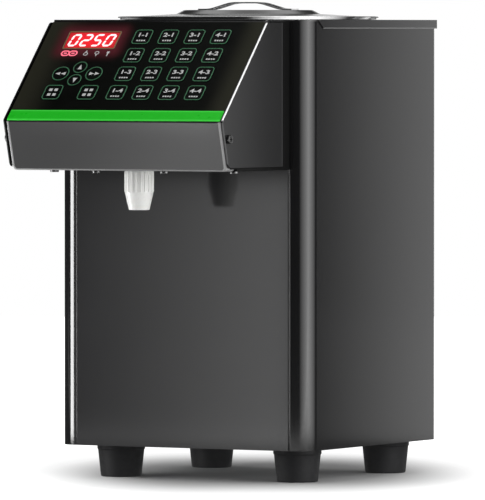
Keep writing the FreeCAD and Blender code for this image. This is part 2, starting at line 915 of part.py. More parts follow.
def lip_back():
    """Just behind the turned-in bottom lip of the head's front sheet."""
    return lower_y(head_low, s.face_inset + s.head_flange) + s.sheet_fit


def side_screw_holes(name):
    length = s.screw_length + s.overrun
    _, y, z = side_screw_place()
    ends = (head_half_width - length, -head_half_width - s.overrun)
    return [rod(name + "_side_hole", (x, y, z), screw_hole, length + s.overrun, "x") for x in ends]


def side_screw_place():
    """The side screw on the right: between knee and bottom, a little over the middle."""
    return head_half_width, knee_y + s.side_screw_back, (knee_height + head_low) / 2 + s.side_screw_rise


def bottom_screw_places():
    outer = head_half_width - s.outer_screw_inset
    inner = s.inner_screw_spread / 2
    outer_y = knee_y + s.outer_screw_back
    inner_y = knee_y + s.inner_screw_back
    return [(-outer, outer_y), (-inner, inner_y), (inner, inner_y), (outer, outer_y)]


def bottom_screw_holes(name):
    low = head_low - s.overrun
    deep = s.screw_length + s.overrun * 2
    return [rod(name + "_bottom_hole", (x, y, low), screw_hole, deep) for x, y in bottom_screw_places()]


def layout_x(size):
    """A place across the keypad, moved in or out with the width of the head."""
    return size * cover_half / s.layout_half_width


def layout_up(size):
    """A place up the keypad, moved with the height of the slope."""
    return size * s.knee_drop / s.layout_drop


def key_size():
    return layout_x(s.key_column_pitch) - s.key_side_gap, layout_up(s.key_row_pitch) - s.key_end_gap


def display_place():
    return layout_x(s.display_across), layout_up(s.display_up)


def key_places():
    """Name, place across, place up and shape of every key on the slope."""
    keys = []
    for row in range(4):
        for column in range(4):
            name = "key_%d_%d" % (column + 1, 4 - row)
            across = layout_x(s.key_column_first + s.key_column_pitch * column)
            keys.append((name, across, layout_up(s.key_row_first + s.key_row_pitch * row), None))
    for name, side in (("key_lower_left", -1), ("key_lower_right", 1)):
        across = layout_x(s.set_key_centre + s.set_key_pitch / 2 * side)
        keys.append((name, across, layout_up(s.key_row_first), None))
    x = layout_x(s.arrow_centre_across)
    up = layout_up(s.arrow_centre_up)
    side_step = layout_x(s.arrow_side_step)
    up_step = layout_up(s.arrow_up_step)
    keys.append(("key_left", x - side_step, up, layout_x(s.arrow_side_radius)))
    keys.append(("key_right", x + side_step, up, layout_x(s.arrow_side_radius)))
    keys.append(("key_up", x, up + up_step, layout_up(s.arrow_up_radius)))
    keys.append(("key_down", x, up - up_step, layout_up(s.arrow_up_radius)))
    return keys


def panel_wells(name):
    """Tools that cut the keys' and the display's windows through foil and sheet."""
    base = -(face_depth + s.head_sheet + s.overrun)
    deep = face_depth + s.head_sheet + s.overrun * 2
    wide, tall = key_size()
    wells = []
    for key, across, up, radius in key_places():
        if radius is None:
            well = slab(name + key, wide + s.key_clearance * 2, tall + s.key_clearance * 2,
                        deep, s.key_corner + s.key_clearance)
            wells.append(on_slope(well, across, up, base))
        else:
            wells.append(slope_rod(name + key, across, up, base, radius + s.key_clearance, deep))
    window = (s.display_width + s.display_fit * 2, s.display_height + s.display_fit * 2)
    wells.append(slope_block(name + "display", *display_place(), base, *window, deep))
    return wells


def head_cover(wells):
    """The folded front sheet of the head: slope, lower face, end flanges and a lip under."""
    def band(slope_depth, lower_depth, low, top):
        return [
            (slope_y(top, slope_depth), top), knee_point(slope_depth, lower_depth),
            (lower_y(low, lower_depth), low)]

    thick = s.head_sheet
    low = head_low
    deep = s.head_flange
    outer = band(face_depth, s.face_inset, low, under_cover)
    back = band(face_depth + deep, s.face_inset + deep, low, under_cover)
    whole = prism("cover_band", "YZ_Plane", outer + list(reversed(back)), cover_half * 2)
    place(whole, -cover_half, 0, 0)
    knee = outer[1]
    round_edges(whole, s.knee_round, level_at(*knee))
    round_edges(whole, s.head_corner, end_edges_along(low))
    round_edges(whole, s.head_bend, end_edges_on(outer))
    hollow_front = band(face_depth + thick, s.face_inset + thick, low + thick, under_cover + s.overrun)
    hollow_back = band(
        face_depth + deep + s.overrun, s.face_inset + deep + s.overrun, low + thick,
        under_cover + s.overrun)
    inner = cover_half - thick
    hollow = prism("cover_hollow", "YZ_Plane", hollow_front + list(reversed(hollow_back)), inner * 2)
    place(hollow, -inner, 0, 0)
    round_edges(hollow, s.head_corner - thick, end_edges_along(low + thick))
    piece(cut("head_cover", whole, [hollow, wells] + side_screw_holes("cover")), "head_cover")


def end_edges_along(height):
    """Picks the edges that run front to back at this height."""
    def wanted(middle, way):
        return near(middle.z, height.value) and round(abs(way.y)) == 1
    return wanted


def end_edges_on(corners):
    """Picks the edges at both ends of a prism that lie on the lines through these corners."""
    def wanted(middle, way):
        for first, last in zip(corners, corners[1:]):
            across = (middle.y - first[0].value) * (last[1] - first[1]).value
            along = (middle.z - first[1].value) * (last[0] - first[0]).value
            if near(across - along, 0) and round(abs(way.x)) == 0:
                return True
        return False
    return wanted


def head_side_plates():
    """Two flat end plates, rounded at their front corners and edges, that frame the slope."""
    low = head_low + s.side_bottom_gap
    top = s.body_top - s.side_top_gap
    rear = front - s.side_rear_gap
    outline = [
        (rear, low), (rear, top), (slope_y(top, ZERO), top), (knee_y, knee_height),
        (lower_y(low, ZERO), low)]
    plates = []
    for number, x in enumerate((plate_inner, -head_half_width)):
        plate = place(prism("side_plate_%d" % number, "YZ_Plane", outline, s.side_plate), x, 0, 0)
        round_edges(plate, s.side_corner, level_at(*outline[2]))
        round_edges(plate, s.side_knee_round, level_at(*outline[3]))
        round_edges(plate, s.side_corner, level_at(*outline[4]))
        outer = s.side_plate.value if number == 0 else 0.0
        round_edges(plate, s.side_round, lambda middle, way: round(abs(way.x)) == 0 and near(middle.x, outer))
        plates.append(plate)
    piece(
        cut("head_side_plates", group("side_plate_pair", plates), side_screw_holes("plate")),
        "head_side_plates")


def head_bottom():
    """The flat plate under the head, with the nozzle's hole and four screw holes."""
    side = head_half_width - s.head_plate_side_margin
    back = lip_back()
    outline = [(-side, back), (side, back), (side, front), (-side, front)]
    body = place(prism("bottom_sheet", "XY_Plane", outline, s.head_plate), 0, 0, head_low)
    round_edges(body, s.head_plate_round, end_edges_along(ZERO))
    spigot_hole = s.spigot_radius + s.spigot_fit
    hole = rod("bottom_nozzle_hole", (0, nozzle_y, head_low - s.overrun), spigot_hole,
               s.head_plate + s.overrun * 2)
    piece(cut("head_bottom", body, [hole] + bottom_screw_holes("plate")), "head_bottom")


def head_screws():
    screws = []
    x, y, z = side_screw_place()
    screws.append(screw("right_side_screw", x, y, z, "x"))
    screws.append(screw("left_side_screw", -x, y, z, "x", -1))
    for x, y in bottom_screw_places():
        screws.append(screw("bottom_screw", x, y, head_low, "z", -1))
    piece(group("head_screws", screws), "head_screws")


# Keypad, display and control board

def foil_half():
    return cover_half - s.foil_side_margin


def slope_length():
    return (s.body_top - knee_height) / sine(s.slope_angle)


def stripe_top():
    return s.stripe_low_margin + s.stripe_height


def keypad_overlay(wells):
    low = stripe_top() + s.stripe_gap
    high = slope_length() - s.foil_top_margin
    foil = slab("foil_sheet_body", foil_half() * 2, high - low, s.foil_sheet, s.foil_corner)
    on_slope(foil, ZERO, (low + high) / 2, -face_depth)
    piece(cut("keypad_overlay", foil, [wells]), "keypad_overlay")


def green_stripe():
    strip = slab("green_stripe", foil_half() * 2, s.stripe_height, s.foil_sheet, s.foil_corner)
    piece(on_slope(strip, ZERO, s.stripe_low_margin + s.stripe_height / 2, -face_depth), "green_stripe")


def keys():
    """Each key is a plate that fills its window and stands a little over the foil."""
    height = s.key_proud + s.foil_sheet + s.head_sheet
    for name, across, up, radius in key_places():
        if radius is None:
            key = slab(name, *key_size(), height, s.key_corner)
            on_slope(key, across, up, -(face_depth + s.head_sheet))
        else:
            key = slope_rod(name, across, up, -(face_depth + s.head_sheet), radius, height)
        piece(key, name)


def board_top():
    """Depth of the control board's upper face under the slope's own plane."""
    return face_depth + s.head_sheet + s.board_drop


def display_module():
    low = -board_top()
    high = -(s.face_inset + s.display_sunk)
    module = (s.display_width, s.display_height, high - low)
    piece(slope_block("display_module", *display_place(), low, *module), "display_module")


def board_outline():
    """Half width, lower end and upper end of the control board."""
    low = layout_up(s.board_low)
    return cover_half - s.board_side_gap, low, low + layout_up(s.board_length)


def control_board():
    """The board under the keypad, with one dome switch below each key and its chips behind."""
    deep = board_top()
    half, low, high = board_outline()
    middle = (low + high) / 2
    back = -(deep + s.board_sheet)
    parts = [slope_block("board_sheet_block", ZERO, middle, back, half * 2, high - low, s.board_sheet)]
    dome = s.board_drop - s.key_travel - s.dome_gap
    for name, across, up, _ in key_places():
        parts.append(slope_block(name + "_dome", across, up, -deep, s.dome_size, s.dome_size, dome))
    for step in (-1, 0, 1):
        chip = (s.chip_width, s.chip_width, s.chip_height)
        parts.append(slope_block("board_chip", s.chip_step * step, middle, back - s.chip_height, *chip))
    piece(fuse("control_board", parts), "control_board")


def board_pillars():
    """Four pillars between the sheet of the slope and the board's corners."""
    half, low, high = board_outline()
    edge_x = half - s.pillar_edge
    ups = (low + s.pillar_edge, high - s.pillar_edge)
    places = [(x, up) for up in ups for x in (-edge_x, edge_x)]
    pillars = [slope_rod("pillar", x, up, -board_top(), s.pillar_radius, s.board_drop) for x, up in places]
    piece(group("board_pillars", pillars), "board_pillars")


# Nozzle

def nozzle_body():
    """The fitting above the bottom plate: spigot below, flange on the plate, hose barb above."""
    plate_top = head_low + s.head_plate
    flange_top = plate_top + s.nozzle_flange_height
    barb_foot = flange_top + s.nozzle_neck_height
    barb = s.barb_radius - s.barb_fit
    outline = [
        (s.barb_bore, head_low - s.spigot_length), (s.spigot_radius, head_low - s.spigot_length),
        (
            s.spigot_radius, plate_top), (
                s.nozzle_flange_radius, plate_top), (s.nozzle_flange_radius, flange_top),
        (
            s.hose_radius, flange_top), (
                s.hose_radius, barb_foot), (barb, barb_foot), (barb, barb_foot + s.barb_length),
        (s.barb_bore, barb_foot + s.barb_length),
    ]
    piece(turned("nozzle_body", outline, 0, nozzle_y, 0), "nozzle_body")


def nozzle_cap():
    """The white ribbed nozzle, screwed over the spigot and open at its tip."""
    top = head_low - s.nozzle_gap
    low = head_low - s.nozzle_gap - s.nozzle_length
    taper = low + s.nozzle_taper
    bore = s.spigot_radius + s.spigot_fit
    roof = head_low - s.spigot_length - s.nozzle_gap
    outline = [
        (
            s.nozzle_tip_radius, low), (
                s.nozzle_radius, taper), (s.nozzle_radius, top), (bore, top), (bore, roof),
        (s.nozzle_tip_radius - s.nozzle_wall, low),
    ]
    body = turned("nozzle_shell", outline, 0, nozzle_y, 0)
    ribs = []
    reach = s.nozzle_radius + s.rib_height
    count = int(s.rib_count.value)
    for number in range(count):
        rib = doc.addObject("Part::Box", "nozzle_rib")
        bind(rib, "Length", reach - s.nozzle_radius + s.rib_overlap)
        bind(rib, "Width", s.rib_width)
        bind(rib, "Height", top - taper)
        angle = 360.0 * number / count
        turn = FreeCAD.Rotation(FreeCAD.Vector(0, 0, 1), angle)
        rib.Placement = FreeCAD.Placement(FreeCAD.Vector(0, 0, 0), turn)
        cos_a = math.cos(math.radians(angle))
        sin_a = math.sin(math.radians(angle))
        start = s.nozzle_radius - s.rib_overlap
        bind(rib, "Placement.Base.x", start * cos_a + s.rib_width / 2 * sin_a)
        bind(rib, "Placement.Base.y", nozzle_y + start * sin_a - s.rib_width / 2 * cos_a)
        bind(rib, "Placement.Base.z", taper)
        ribs.append(rib)
    piece(fuse("nozzle_cap", [body] + ribs), "nozzle_cap")


# Pump and motor

def pump_places():
    """The Y places of the pump: cover front, housing front, cavity end, housing back."""
    cover_front = front + s.pump_front
    housing_front = cover_front + s.pump_cover_depth
    cavity_end = housing_front + s.gear_width + s.gear_end_fit * 2
    return cover_front, housing_front, cavity_end, housing_front + s.pump_depth


def gear_radius():
    return s.gear_module * s.gear_teeth / 2


def gear_tip():
    return gear_radius() + s.gear_module * s.gear_addendum_share


def driven_height():
    return s.drive_height + gear_radius() * 2 + s.gear_backlash


def port_height():
    return (s.drive_height + driven_height()) / 2


def port_middle():
    return (pump_places()[1] + pump_places()[2]) / 2


def pump_housing():
    """The pump block: gear cavity open to the front, a port with a hose barb on each side."""
    _, housing_front, cavity_end, housing_back = pump_places()
    half = s.pump_half_width
    top = pump_top
    whole = block("pump_block", (-half, housing_front, s.pump_floor), (half, housing_back, top))
    room = gear_tip() + s.gear_tip_fit
    tools = []
    room_length = cavity_end - housing_front + s.overrun
    for height in (s.drive_height, driven_height()):
        tools.append(rod("gear_room", (0, housing_front - s.overrun, height), room, room_length, "y"))
    tools.append(rod("shaft_bore", (
        0, cavity_end - s.overrun, s.drive_height), s.shaft_radius + s.shaft_fit,
                     housing_back - cavity_end + s.overrun * 2, "y"))
    seat_start = (0, cavity_end - s.overrun, driven_height())
    tools.append(rod("pin_seat", seat_start, s.shaft_radius, s.overrun + pin_depth(), "y"))
    parts = [whole]
    y = port_middle()
    z = port_height()
    barb = s.barb_radius - s.barb_fit
    reach = s.port_collar_length + s.barb_length
    for sign in (1, -1):
        collar_x = half if sign > 0 else -half - s.port_collar_length
        barb_x = half if sign > 0 else -half - reach
        parts.append(rod("port_collar", (collar_x, y, z), s.port_collar_radius, s.port_collar_length, "x"))
        parts.append(rod("port_barb", (barb_x, y, z), barb, reach, "x"))
    bore_end = half + reach + s.overrun
    tools.append(rod("port_bore", (-bore_end, y, z), s.port_bore, bore_end * 2, "x"))
    piece(cut("pump_housing", fuse("pump_whole", parts), tools), "pump_housing")


def pin_depth():
    """How far the driven gear's pin sits in the housing and in the cover."""
    return s.pump_cover_depth / 2


def pump_cover():
    cover_front, housing_front, _, _ = pump_places()
    half = s.pump_half_width
    top = pump_top
    whole = block("pump_cover_block", (-half, cover_front, s.pump_floor), (half, housing_front, top))
    seats = []
    seat_y = housing_front - pin_depth()
    for height, radius in (
        (s.drive_height, s.shaft_radius + s.shaft_fit), (driven_height(), s.shaft_radius)):
        seats.append(rod("cover_seat", (0, seat_y, height), radius, pin_depth() + s.overrun, "y"))
    piece(cut("pump_cover", whole, seats), "pump_cover")


def gear_outline(teeth, phase):
    """A closed wire round a spur gear: involute flanks drawn as arcs, tip and root arcs."""
    pitch = gear_radius().value
    base = pitch * math.cos(math.radians(s.gear_pressure_angle.value))
    tip = gear_tip().value
    root = pitch - (s.gear_module * s.gear_dedendum_share).value

    def unwound(radius):
        lean = math.acos(min(base / radius, 1.0))
        return math.tan(lean) - lean

    half_tooth = math.pi / (2 * teeth) + unwound(pitch)

    def at(radius, angle):
        return FreeCAD.Vector(radius * math.sin(angle), 0, radius * math.cos(angle))

    edges = []
    step = 2 * math.pi / teeth
    middle = (base + tip) / 2
    for number in range(teeth):
        centre = phase + step * number
        left = [at(r, centre - half_tooth + unwound(r)) for r in (base, middle, tip)]
        right = [at(r, centre + half_tooth - unwound(r)) for r in (tip, middle, base)]
        root_left = at(root, centre - half_tooth)
        root_right = at(root, centre + half_tooth)
        next_root = at(root, centre + step - half_tooth)
        edges.append(Part.LineSegment(root_left, left[0]).toShape())
        edges.append(Part.Arc(*left).toShape())
        edges.append(Part.Arc(left[2], at(tip, centre), right[0]).toShape())
        edges.append(Part.Arc(*right).toShape())
        edges.append(Part.LineSegment(right[2], root_right).toShape())
        edges.append(Part.Arc(root_right, at(root, centre + step / 2), next_root).toShape())
    return Part.Wire(edges)


def gear(name, height, phase, bore):
    """A gear solid from its outline, with its bore, set in the pump's cavity."""
    width = s.gear_width.value
    face = Part.Face(gear_outline(int(s.gear_teeth.value), phase))
    solid = face.extrude(FreeCAD.Vector(0, width, 0))
    hole = Part.makeCylinder(bore.value, width, FreeCAD.Vector(0, 0, 0), FreeCAD.Vector(0, 1, 0))
    thing = doc.addObject("Part::Feature", name)
    thing.Shape = solid.cut(hole)
    place(thing, 0, pump_places()[1] + s.gear_end_fit, height)
    return piece(thing, name)


def gears():
    gear("drive_gear", s.drive_height, 0.0, s.shaft_radius)
    half_step = math.pi / int(s.gear_teeth.value)
    teeth_even = int(s.gear_teeth.value) % 2 == 0
    gear("driven_gear", driven_height(), half_step if teeth_even else 0.0, s.shaft_radius + s.shaft_fit)
    _, housing_front, cavity_end, _ = pump_places()
    pin = rod("idler_pin", (0, housing_front - pin_depth(), driven_height()), s.shaft_radius,
              cavity_end - housing_front + pin_depth() * 2, "y")
    piece(pin, "idler_pin")


def motor_front():
    return pump_places()[3] + s.bracket_sheet


def motor_bracket():
    """An angle bracket: an upright plate between pump and motor, and a foot on the base."""
    back = pump_places()[3]
    half = s.bracket_half_width
    floor = s.body_bottom + s.case_sheet
    sheet_end = back + s.bracket_sheet
    through = s.bracket_sheet + s.overrun * 2
    upright = block(
        "bracket_upright", (-half, back, floor), (half, sheet_end, pump_top))
    foot = block(
        "bracket_foot_plate", (-half, back, floor),
        (half, back + s.bracket_foot, floor + s.bracket_sheet))
    holes = [rod(
        "bracket_hole", (0, back - s.overrun, s.drive_height), s.bracket_hole_radius, through, "y")]
    for x, y in bracket_screw_places():
        holes.append(rod("bracket_screw_hole", (x, y, floor - s.overrun), screw_hole, through))
    piece(cut("motor_bracket", fuse("bracket_whole", [upright, foot]), holes), "motor_bracket")


def motor_can():
    """The motor: can, front boss through the bracket and a smaller rear cap."""
    start = motor_front()
    z = s.drive_height
    can = rod("motor_tube", (0, start, z), s.motor_radius, s.motor_length, "y")
    boss = rod("motor_boss", (0, start - s.bracket_sheet, z), s.motor_boss_radius, s.bracket_sheet * 2, "y")
    cap = rod("motor_cap", (0, start + s.motor_length, z), s.motor_cap_radius, s.motor_cap_length, "y")
    bore = rod("motor_bore", (0, start - s.bracket_sheet - s.overrun, z), s.shaft_radius + s.shaft_fit,
               s.bracket_sheet + s.motor_shaft_depth + s.shaft_fit + s.overrun, "y")
    piece(cut("motor_can", fuse("motor_whole", [can, boss, cap]), [bore]), "motor_can")


def motor_shaft():
    start = pump_places()[1] - pin_depth() + s.shaft_fit
    end = motor_front() + s.motor_shaft_depth
    piece(rod("motor_shaft", (0, start, s.drive_height), s.shaft_radius, end - start, "y"), "motor_shaft")


# Hoses

def hose_path(points, bend):
    """Straight runs joined by tangent arcs of one radius."""
    corners = [FreeCAD.Vector(*[Size.read(p).value for p in point]) for point in points]
    edges = []
    start = corners[0]
    for before, corner, after in zip(corners, corners[1:], corners[2:]):
        way_in = (corner - before).normalize()
        way_out = (after - corner).normalize()
        half_turn = way_in.getAngle(way_out) / 2
        reach = bend * math.tan(half_turn)
        arc_start = corner - way_in * reach
        arc_end = corner + way_out * reach
        inward = (way_out - way_in).normalize()
        top = corner + inward * (bend / math.cos(half_turn) - bend)
        edges.append(Part.LineSegment(start, arc_start).toShape())
        edges.append(Part.Arc(arc_start, top, arc_end).toShape())
        start = arc_end
    edges.append(Part.LineSegment(start, corners[-1]).toShape())
    return Part.Wire(edges)


def hose(name, points):
    path = hose_path(points, s.hose_bend.value)
    way = path.Edges[0].tangentAt(path.Edges[0].FirstParameter)
    start = path.Edges[0].valueAt(path.Edges[0].FirstParameter)

    def swept(radius):
        ring = Part.Wire([Part.Circle(start, way, radius).toShape()])
        return path.makePipeShell([ring], True, False)

    thing = doc.addObject("Part::Feature", name)
    thing.Shape = swept(s.hose_radius.value).cut(swept(s.barb_radius.value))
    thing.Placement = FreeCAD.Placement()
    return piece(thing, name)


def suction_points():
    """From the tank's barb down, over the pump and into its left port."""
    x = -s.suction_side
    y = port_middle()
    z = port_height()
    level = suction_level
    top = outlet_low - s.tank_wall * 2
    end = -s.pump_half_width - s.port_collar_length
    return [(0, tank_y, top), (0, tank_y, level), (x, y, level), (x, y, z), (end, y, z)]


def delivery_points():
    """From the right port, along the front panel up, into the head and down on the nozzle's barb."""
    x = delivery_side
    back = front + s.delivery_back
    y = port_middle()
    z = port_height()
    level = delivery_level
    start = s.pump_half_width + s.port_collar_length
    end = head_low + s.head_plate + s.nozzle_flange_height + s.nozzle_neck_height
    low_run = [(start, y, z), (x, y, z), (x, back, z), (x, back, level)]
    return low_run + [(x, nozzle_y, level), (0, nozzle_y, level), (0, nozzle_y, end)]


def hose_clamps():
    """A band round each hose end."""
    outer = s.hose_radius + s.clamp_sheet
    places = []
    points = suction_points()
    x, y, z = points[0]
    places.append((x, y, z - s.clamp_set_back - s.clamp_width, "z"))
    x, y, z = points[-1]
    places.append((x - s.clamp_set_back - s.clamp_width, y, z, "x"))
    points = delivery_points()
    x, y, z = points[0]
    places.append((x + s.clamp_set_back, y, z, "x"))
    x, y, z = points[-1]
    places.append((x, y, z + s.clamp_set_back, "z"))
    bands = []
    for x, y, z, turn in places:
        ring = rod("clamp_outer", (x, y, z), outer, s.clamp_width, turn)
        hole = rod("clamp_inner", (x, y, z), s.hose_radius + s.barb_fit, s.clamp_width, turn)
        bands.append(cut("clamp_band", ring, [hole]))
    piece(group("hose_clamps", bands), "hose_clamps")


# Power

def power_supply():
    floor = s.body_bottom + s.case_sheet
    x = s.supply_inset - case_half
    y = rear_face - s.supply_rear_gap
    low = (x, y - s.supply_length, floor)
    piece(block("power_supply", low, (x + s.supply_width, y, floor + s.supply_height)), "power_supply")


def power_inlet():
    """The socket in the back: flange outside, body inside, a pocket with three blades."""
    x = inlet_across()
    z = s.inlet_height
    half_w = s.inlet_width / 2
    half_t = s.inlet_tall / 2
    edge = s.inlet_flange
    out = rear_face + s.inlet_flange_sheet
    body = block(
        "inlet_body", (x - half_w, rear_face - s.inlet_depth, z - half_t), (x + half_w, out, z + half_t))
    flange = block(
        "inlet_flange_plate", (x - half_w - edge, rear_face, z - half_t - edge),
        (x + half_w + edge, out, z + half_t + edge))
    wall = s.inlet_wall
    pocket = block("inlet_pocket_cut", (x - half_w + wall, out - s.inlet_pocket, z - half_t + wall),
                   (x + half_w - wall, out + s.overrun, z + half_t - wall))
    shell = cut("inlet_shell", fuse("inlet_whole", [body, flange]), [pocket])
    blades = []
    foot = out - s.inlet_pocket - s.inlet_wall
    for step, rise in ((-1, -s.inlet_pin_rise), (0, s.inlet_pin_rise), (1, -s.inlet_pin_rise)):
        bx = x + s.inlet_pin_pitch * step
        bz = z + rise
        blades.append(block("inlet_blade", (bx - s.inlet_pin_width / 2, foot, bz - s.inlet_pin_tall / 2),
                            (
                                bx + s.inlet_pin_width / 2, foot + s.inlet_wall + s.inlet_pin_length,
                                bz + s.inlet_pin_tall / 2)))
    piece(fuse("power_inlet", [shell] + blades), "power_inlet")


def switch_frame():
    """The bezel and box that carry the rocker."""
    x = switch_across()
    z = s.switch_height
    half_w = s.switch_width / 2
    half_t = s.switch_tall / 2
    edge = s.switch_flange
    out = rear_face + s.switch_flange_sheet
    body = block(
        "switch_box", (x - half_w, rear_face - s.switch_depth, z - half_t),
        (x + half_w, out, z + half_t))
    flange = block(
        "switch_bezel", (x - half_w - edge, rear_face, z - half_t - edge),
        (x + half_w + edge, out, z + half_t + edge))
    wall = s.switch_wall
    well = block(
        "switch_well_cut", (x - half_w + wall, out - s.switch_well, z - half_t + wall),
        (x + half_w - wall, out + s.overrun, z + half_t - wall))
    pin = rod(
        "switch_pin", (x - half_w + wall / 2, rocker_pivot_y(), z), s.rocker_pivot_radius - s.shaft_fit,
        s.switch_width - wall, "x")
    piece(
        fuse("switch_frame", [cut("switch_shell", fuse("switch_whole", [body, flange]), [well]), pin]),
        "switch_frame")


def rocker_pivot_y():
    return rear_face + s.switch_flange_sheet - s.rocker_depth


def switch_rocker():
    """The rocker, tilted to off: two faces that meet at a shallow angle over its pivot."""
    x = switch_across()
    half_w = s.switch_width / 2 - s.switch_wall - s.rocker_gap
    half_t = s.switch_tall / 2 - s.switch_wall - s.rocker_gap - s.rocker_front / 2
    lift = tangent(s.rocker_tilt) * half_t
    face = s.rocker_depth + s.rocker_front
    back = -s.rocker_pivot_radius * 2
    outline = [(
        back, -s.rocker_pivot_radius * 2), (
            face - lift - s.rocker_front, -half_t), (face, -half_t), (face - lift, 0),
               (face, half_t), (face - lift - s.rocker_front, half_t), (back, s.rocker_pivot_radius * 2)]
    body = prism("rocker_body", "YZ_Plane", outline, half_w * 2)
    hole = rod("rocker_hole", (-s.overrun, 0, 0), s.rocker_pivot_radius, half_w * 2 + s.overrun * 2, "x")
    rocker = cut("switch_rocker", body, [hole])
    rocker.Placement = FreeCAD.Placement(
        FreeCAD.Vector(0, 0, 0), FreeCAD.Rotation(FreeCAD.Vector(1, 0, 0), 1))
    bind(rocker, "Placement.Base.x", x - half_w)
    bind(rocker, "Placement.Base.y", rocker_pivot_y())
    bind(rocker, "Placement.Base.z", s.switch_height)
    bind(rocker, "Placement.Rotation.Angle", s.rocker_tilt)
    piece(rocker, "switch_rocker")


body_shell()
front_panel()
base_plate()
rubber_feet()
case_screws()
top_cover()
syrup_tank()
tank_gasket()
tank_outlet()
lid_disc()
lid_handle()
head_frame()
well_tool = fuse("panel_wells", panel_wells("well_"))
head_cover(well_tool)
head_side_plates()
head_bottom()
head_screws()
keypad_overlay(well_tool)
green_stripe()
keys()
display_module()
control_board()
board_pillars()
nozzle_body()
nozzle_cap()
pump_housing()
pump_cover()
gears()
motor_bracket()
motor_can()
motor_shaft()
hose("suction_hose", suction_points())
hose("delivery_hose", delivery_points())
hose_clamps()
power_supply()
power_inlet()
switch_frame()
switch_rocker()

doc.recompute()

faults = [thing.Name for thing in doc.Objects if "Invalid" in thing.State or "Error" in thing.State]
for thing in PIECES:
    if thing.Shape.isNull() or not thing.Shape.isValid() or not thing.Shape.Solids:
        faults.append(thing.Label)
if faults:
    raise SystemExit("failed objects: " + ", ".join(faults))

whole = FreeCAD.BoundBox()
for thing in PIECES:
    thing.Shape.exportStep("parts/%s.step" % thing.Label)
    whole.add(thing.Shape.BoundBox)
print("pieces", len(PIECES), "box", whole)
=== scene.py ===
import math

import bmesh
import bpy
from mathutils import Matrix, Vector


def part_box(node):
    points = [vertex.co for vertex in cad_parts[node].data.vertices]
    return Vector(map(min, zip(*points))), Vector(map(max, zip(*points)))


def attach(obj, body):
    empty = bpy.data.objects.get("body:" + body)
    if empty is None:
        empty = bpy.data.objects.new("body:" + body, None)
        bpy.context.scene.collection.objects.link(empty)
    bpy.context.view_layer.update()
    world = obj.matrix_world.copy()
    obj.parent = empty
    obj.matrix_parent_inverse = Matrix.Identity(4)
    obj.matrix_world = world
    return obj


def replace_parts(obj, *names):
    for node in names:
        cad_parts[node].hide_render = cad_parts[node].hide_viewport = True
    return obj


# Fructose dispenser: finishes, small parts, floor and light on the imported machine.
# Metres, front towards -Y, +X to the viewer's right, origin on the floor under the middle.

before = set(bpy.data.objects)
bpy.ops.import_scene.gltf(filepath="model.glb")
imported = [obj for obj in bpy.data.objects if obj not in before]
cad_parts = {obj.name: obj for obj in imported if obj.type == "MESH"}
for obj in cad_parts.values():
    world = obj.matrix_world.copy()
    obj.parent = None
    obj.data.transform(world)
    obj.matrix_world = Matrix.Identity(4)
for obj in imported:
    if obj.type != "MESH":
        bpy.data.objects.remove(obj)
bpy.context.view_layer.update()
scene = bpy.context.scene

MM = 0.001
FRONT = -62.25 * MM
REAR = FRONT + 246.0 * MM
KNEE = Vector((0.0, FRONT - 125.2 * MM, 328.1 * MM))
SLOPE = math.radians(46.8)
HEAD_LOW = 283.2 * MM
TANK_Y = FRONT + 124.2 * MM


# Camera

def set_camera():
    lens = bpy.data.cameras.new("studio_camera")
    lens.lens = 557.3
    lens.sensor_width = 36.0
    lens.clip_end = 200.0
    camera = bpy.data.objects.new("studio_camera", lens)
    camera.location = (3.45988, -6.14643, 0.40772)
    camera.rotation_euler = (math.radians(90.0 - 1.62), 0.0, math.radians(29.173))
    scene.collection.objects.link(camera)
    scene.camera = camera


set_camera()
scene.view_settings.view_transform = "Standard"


# Finishes

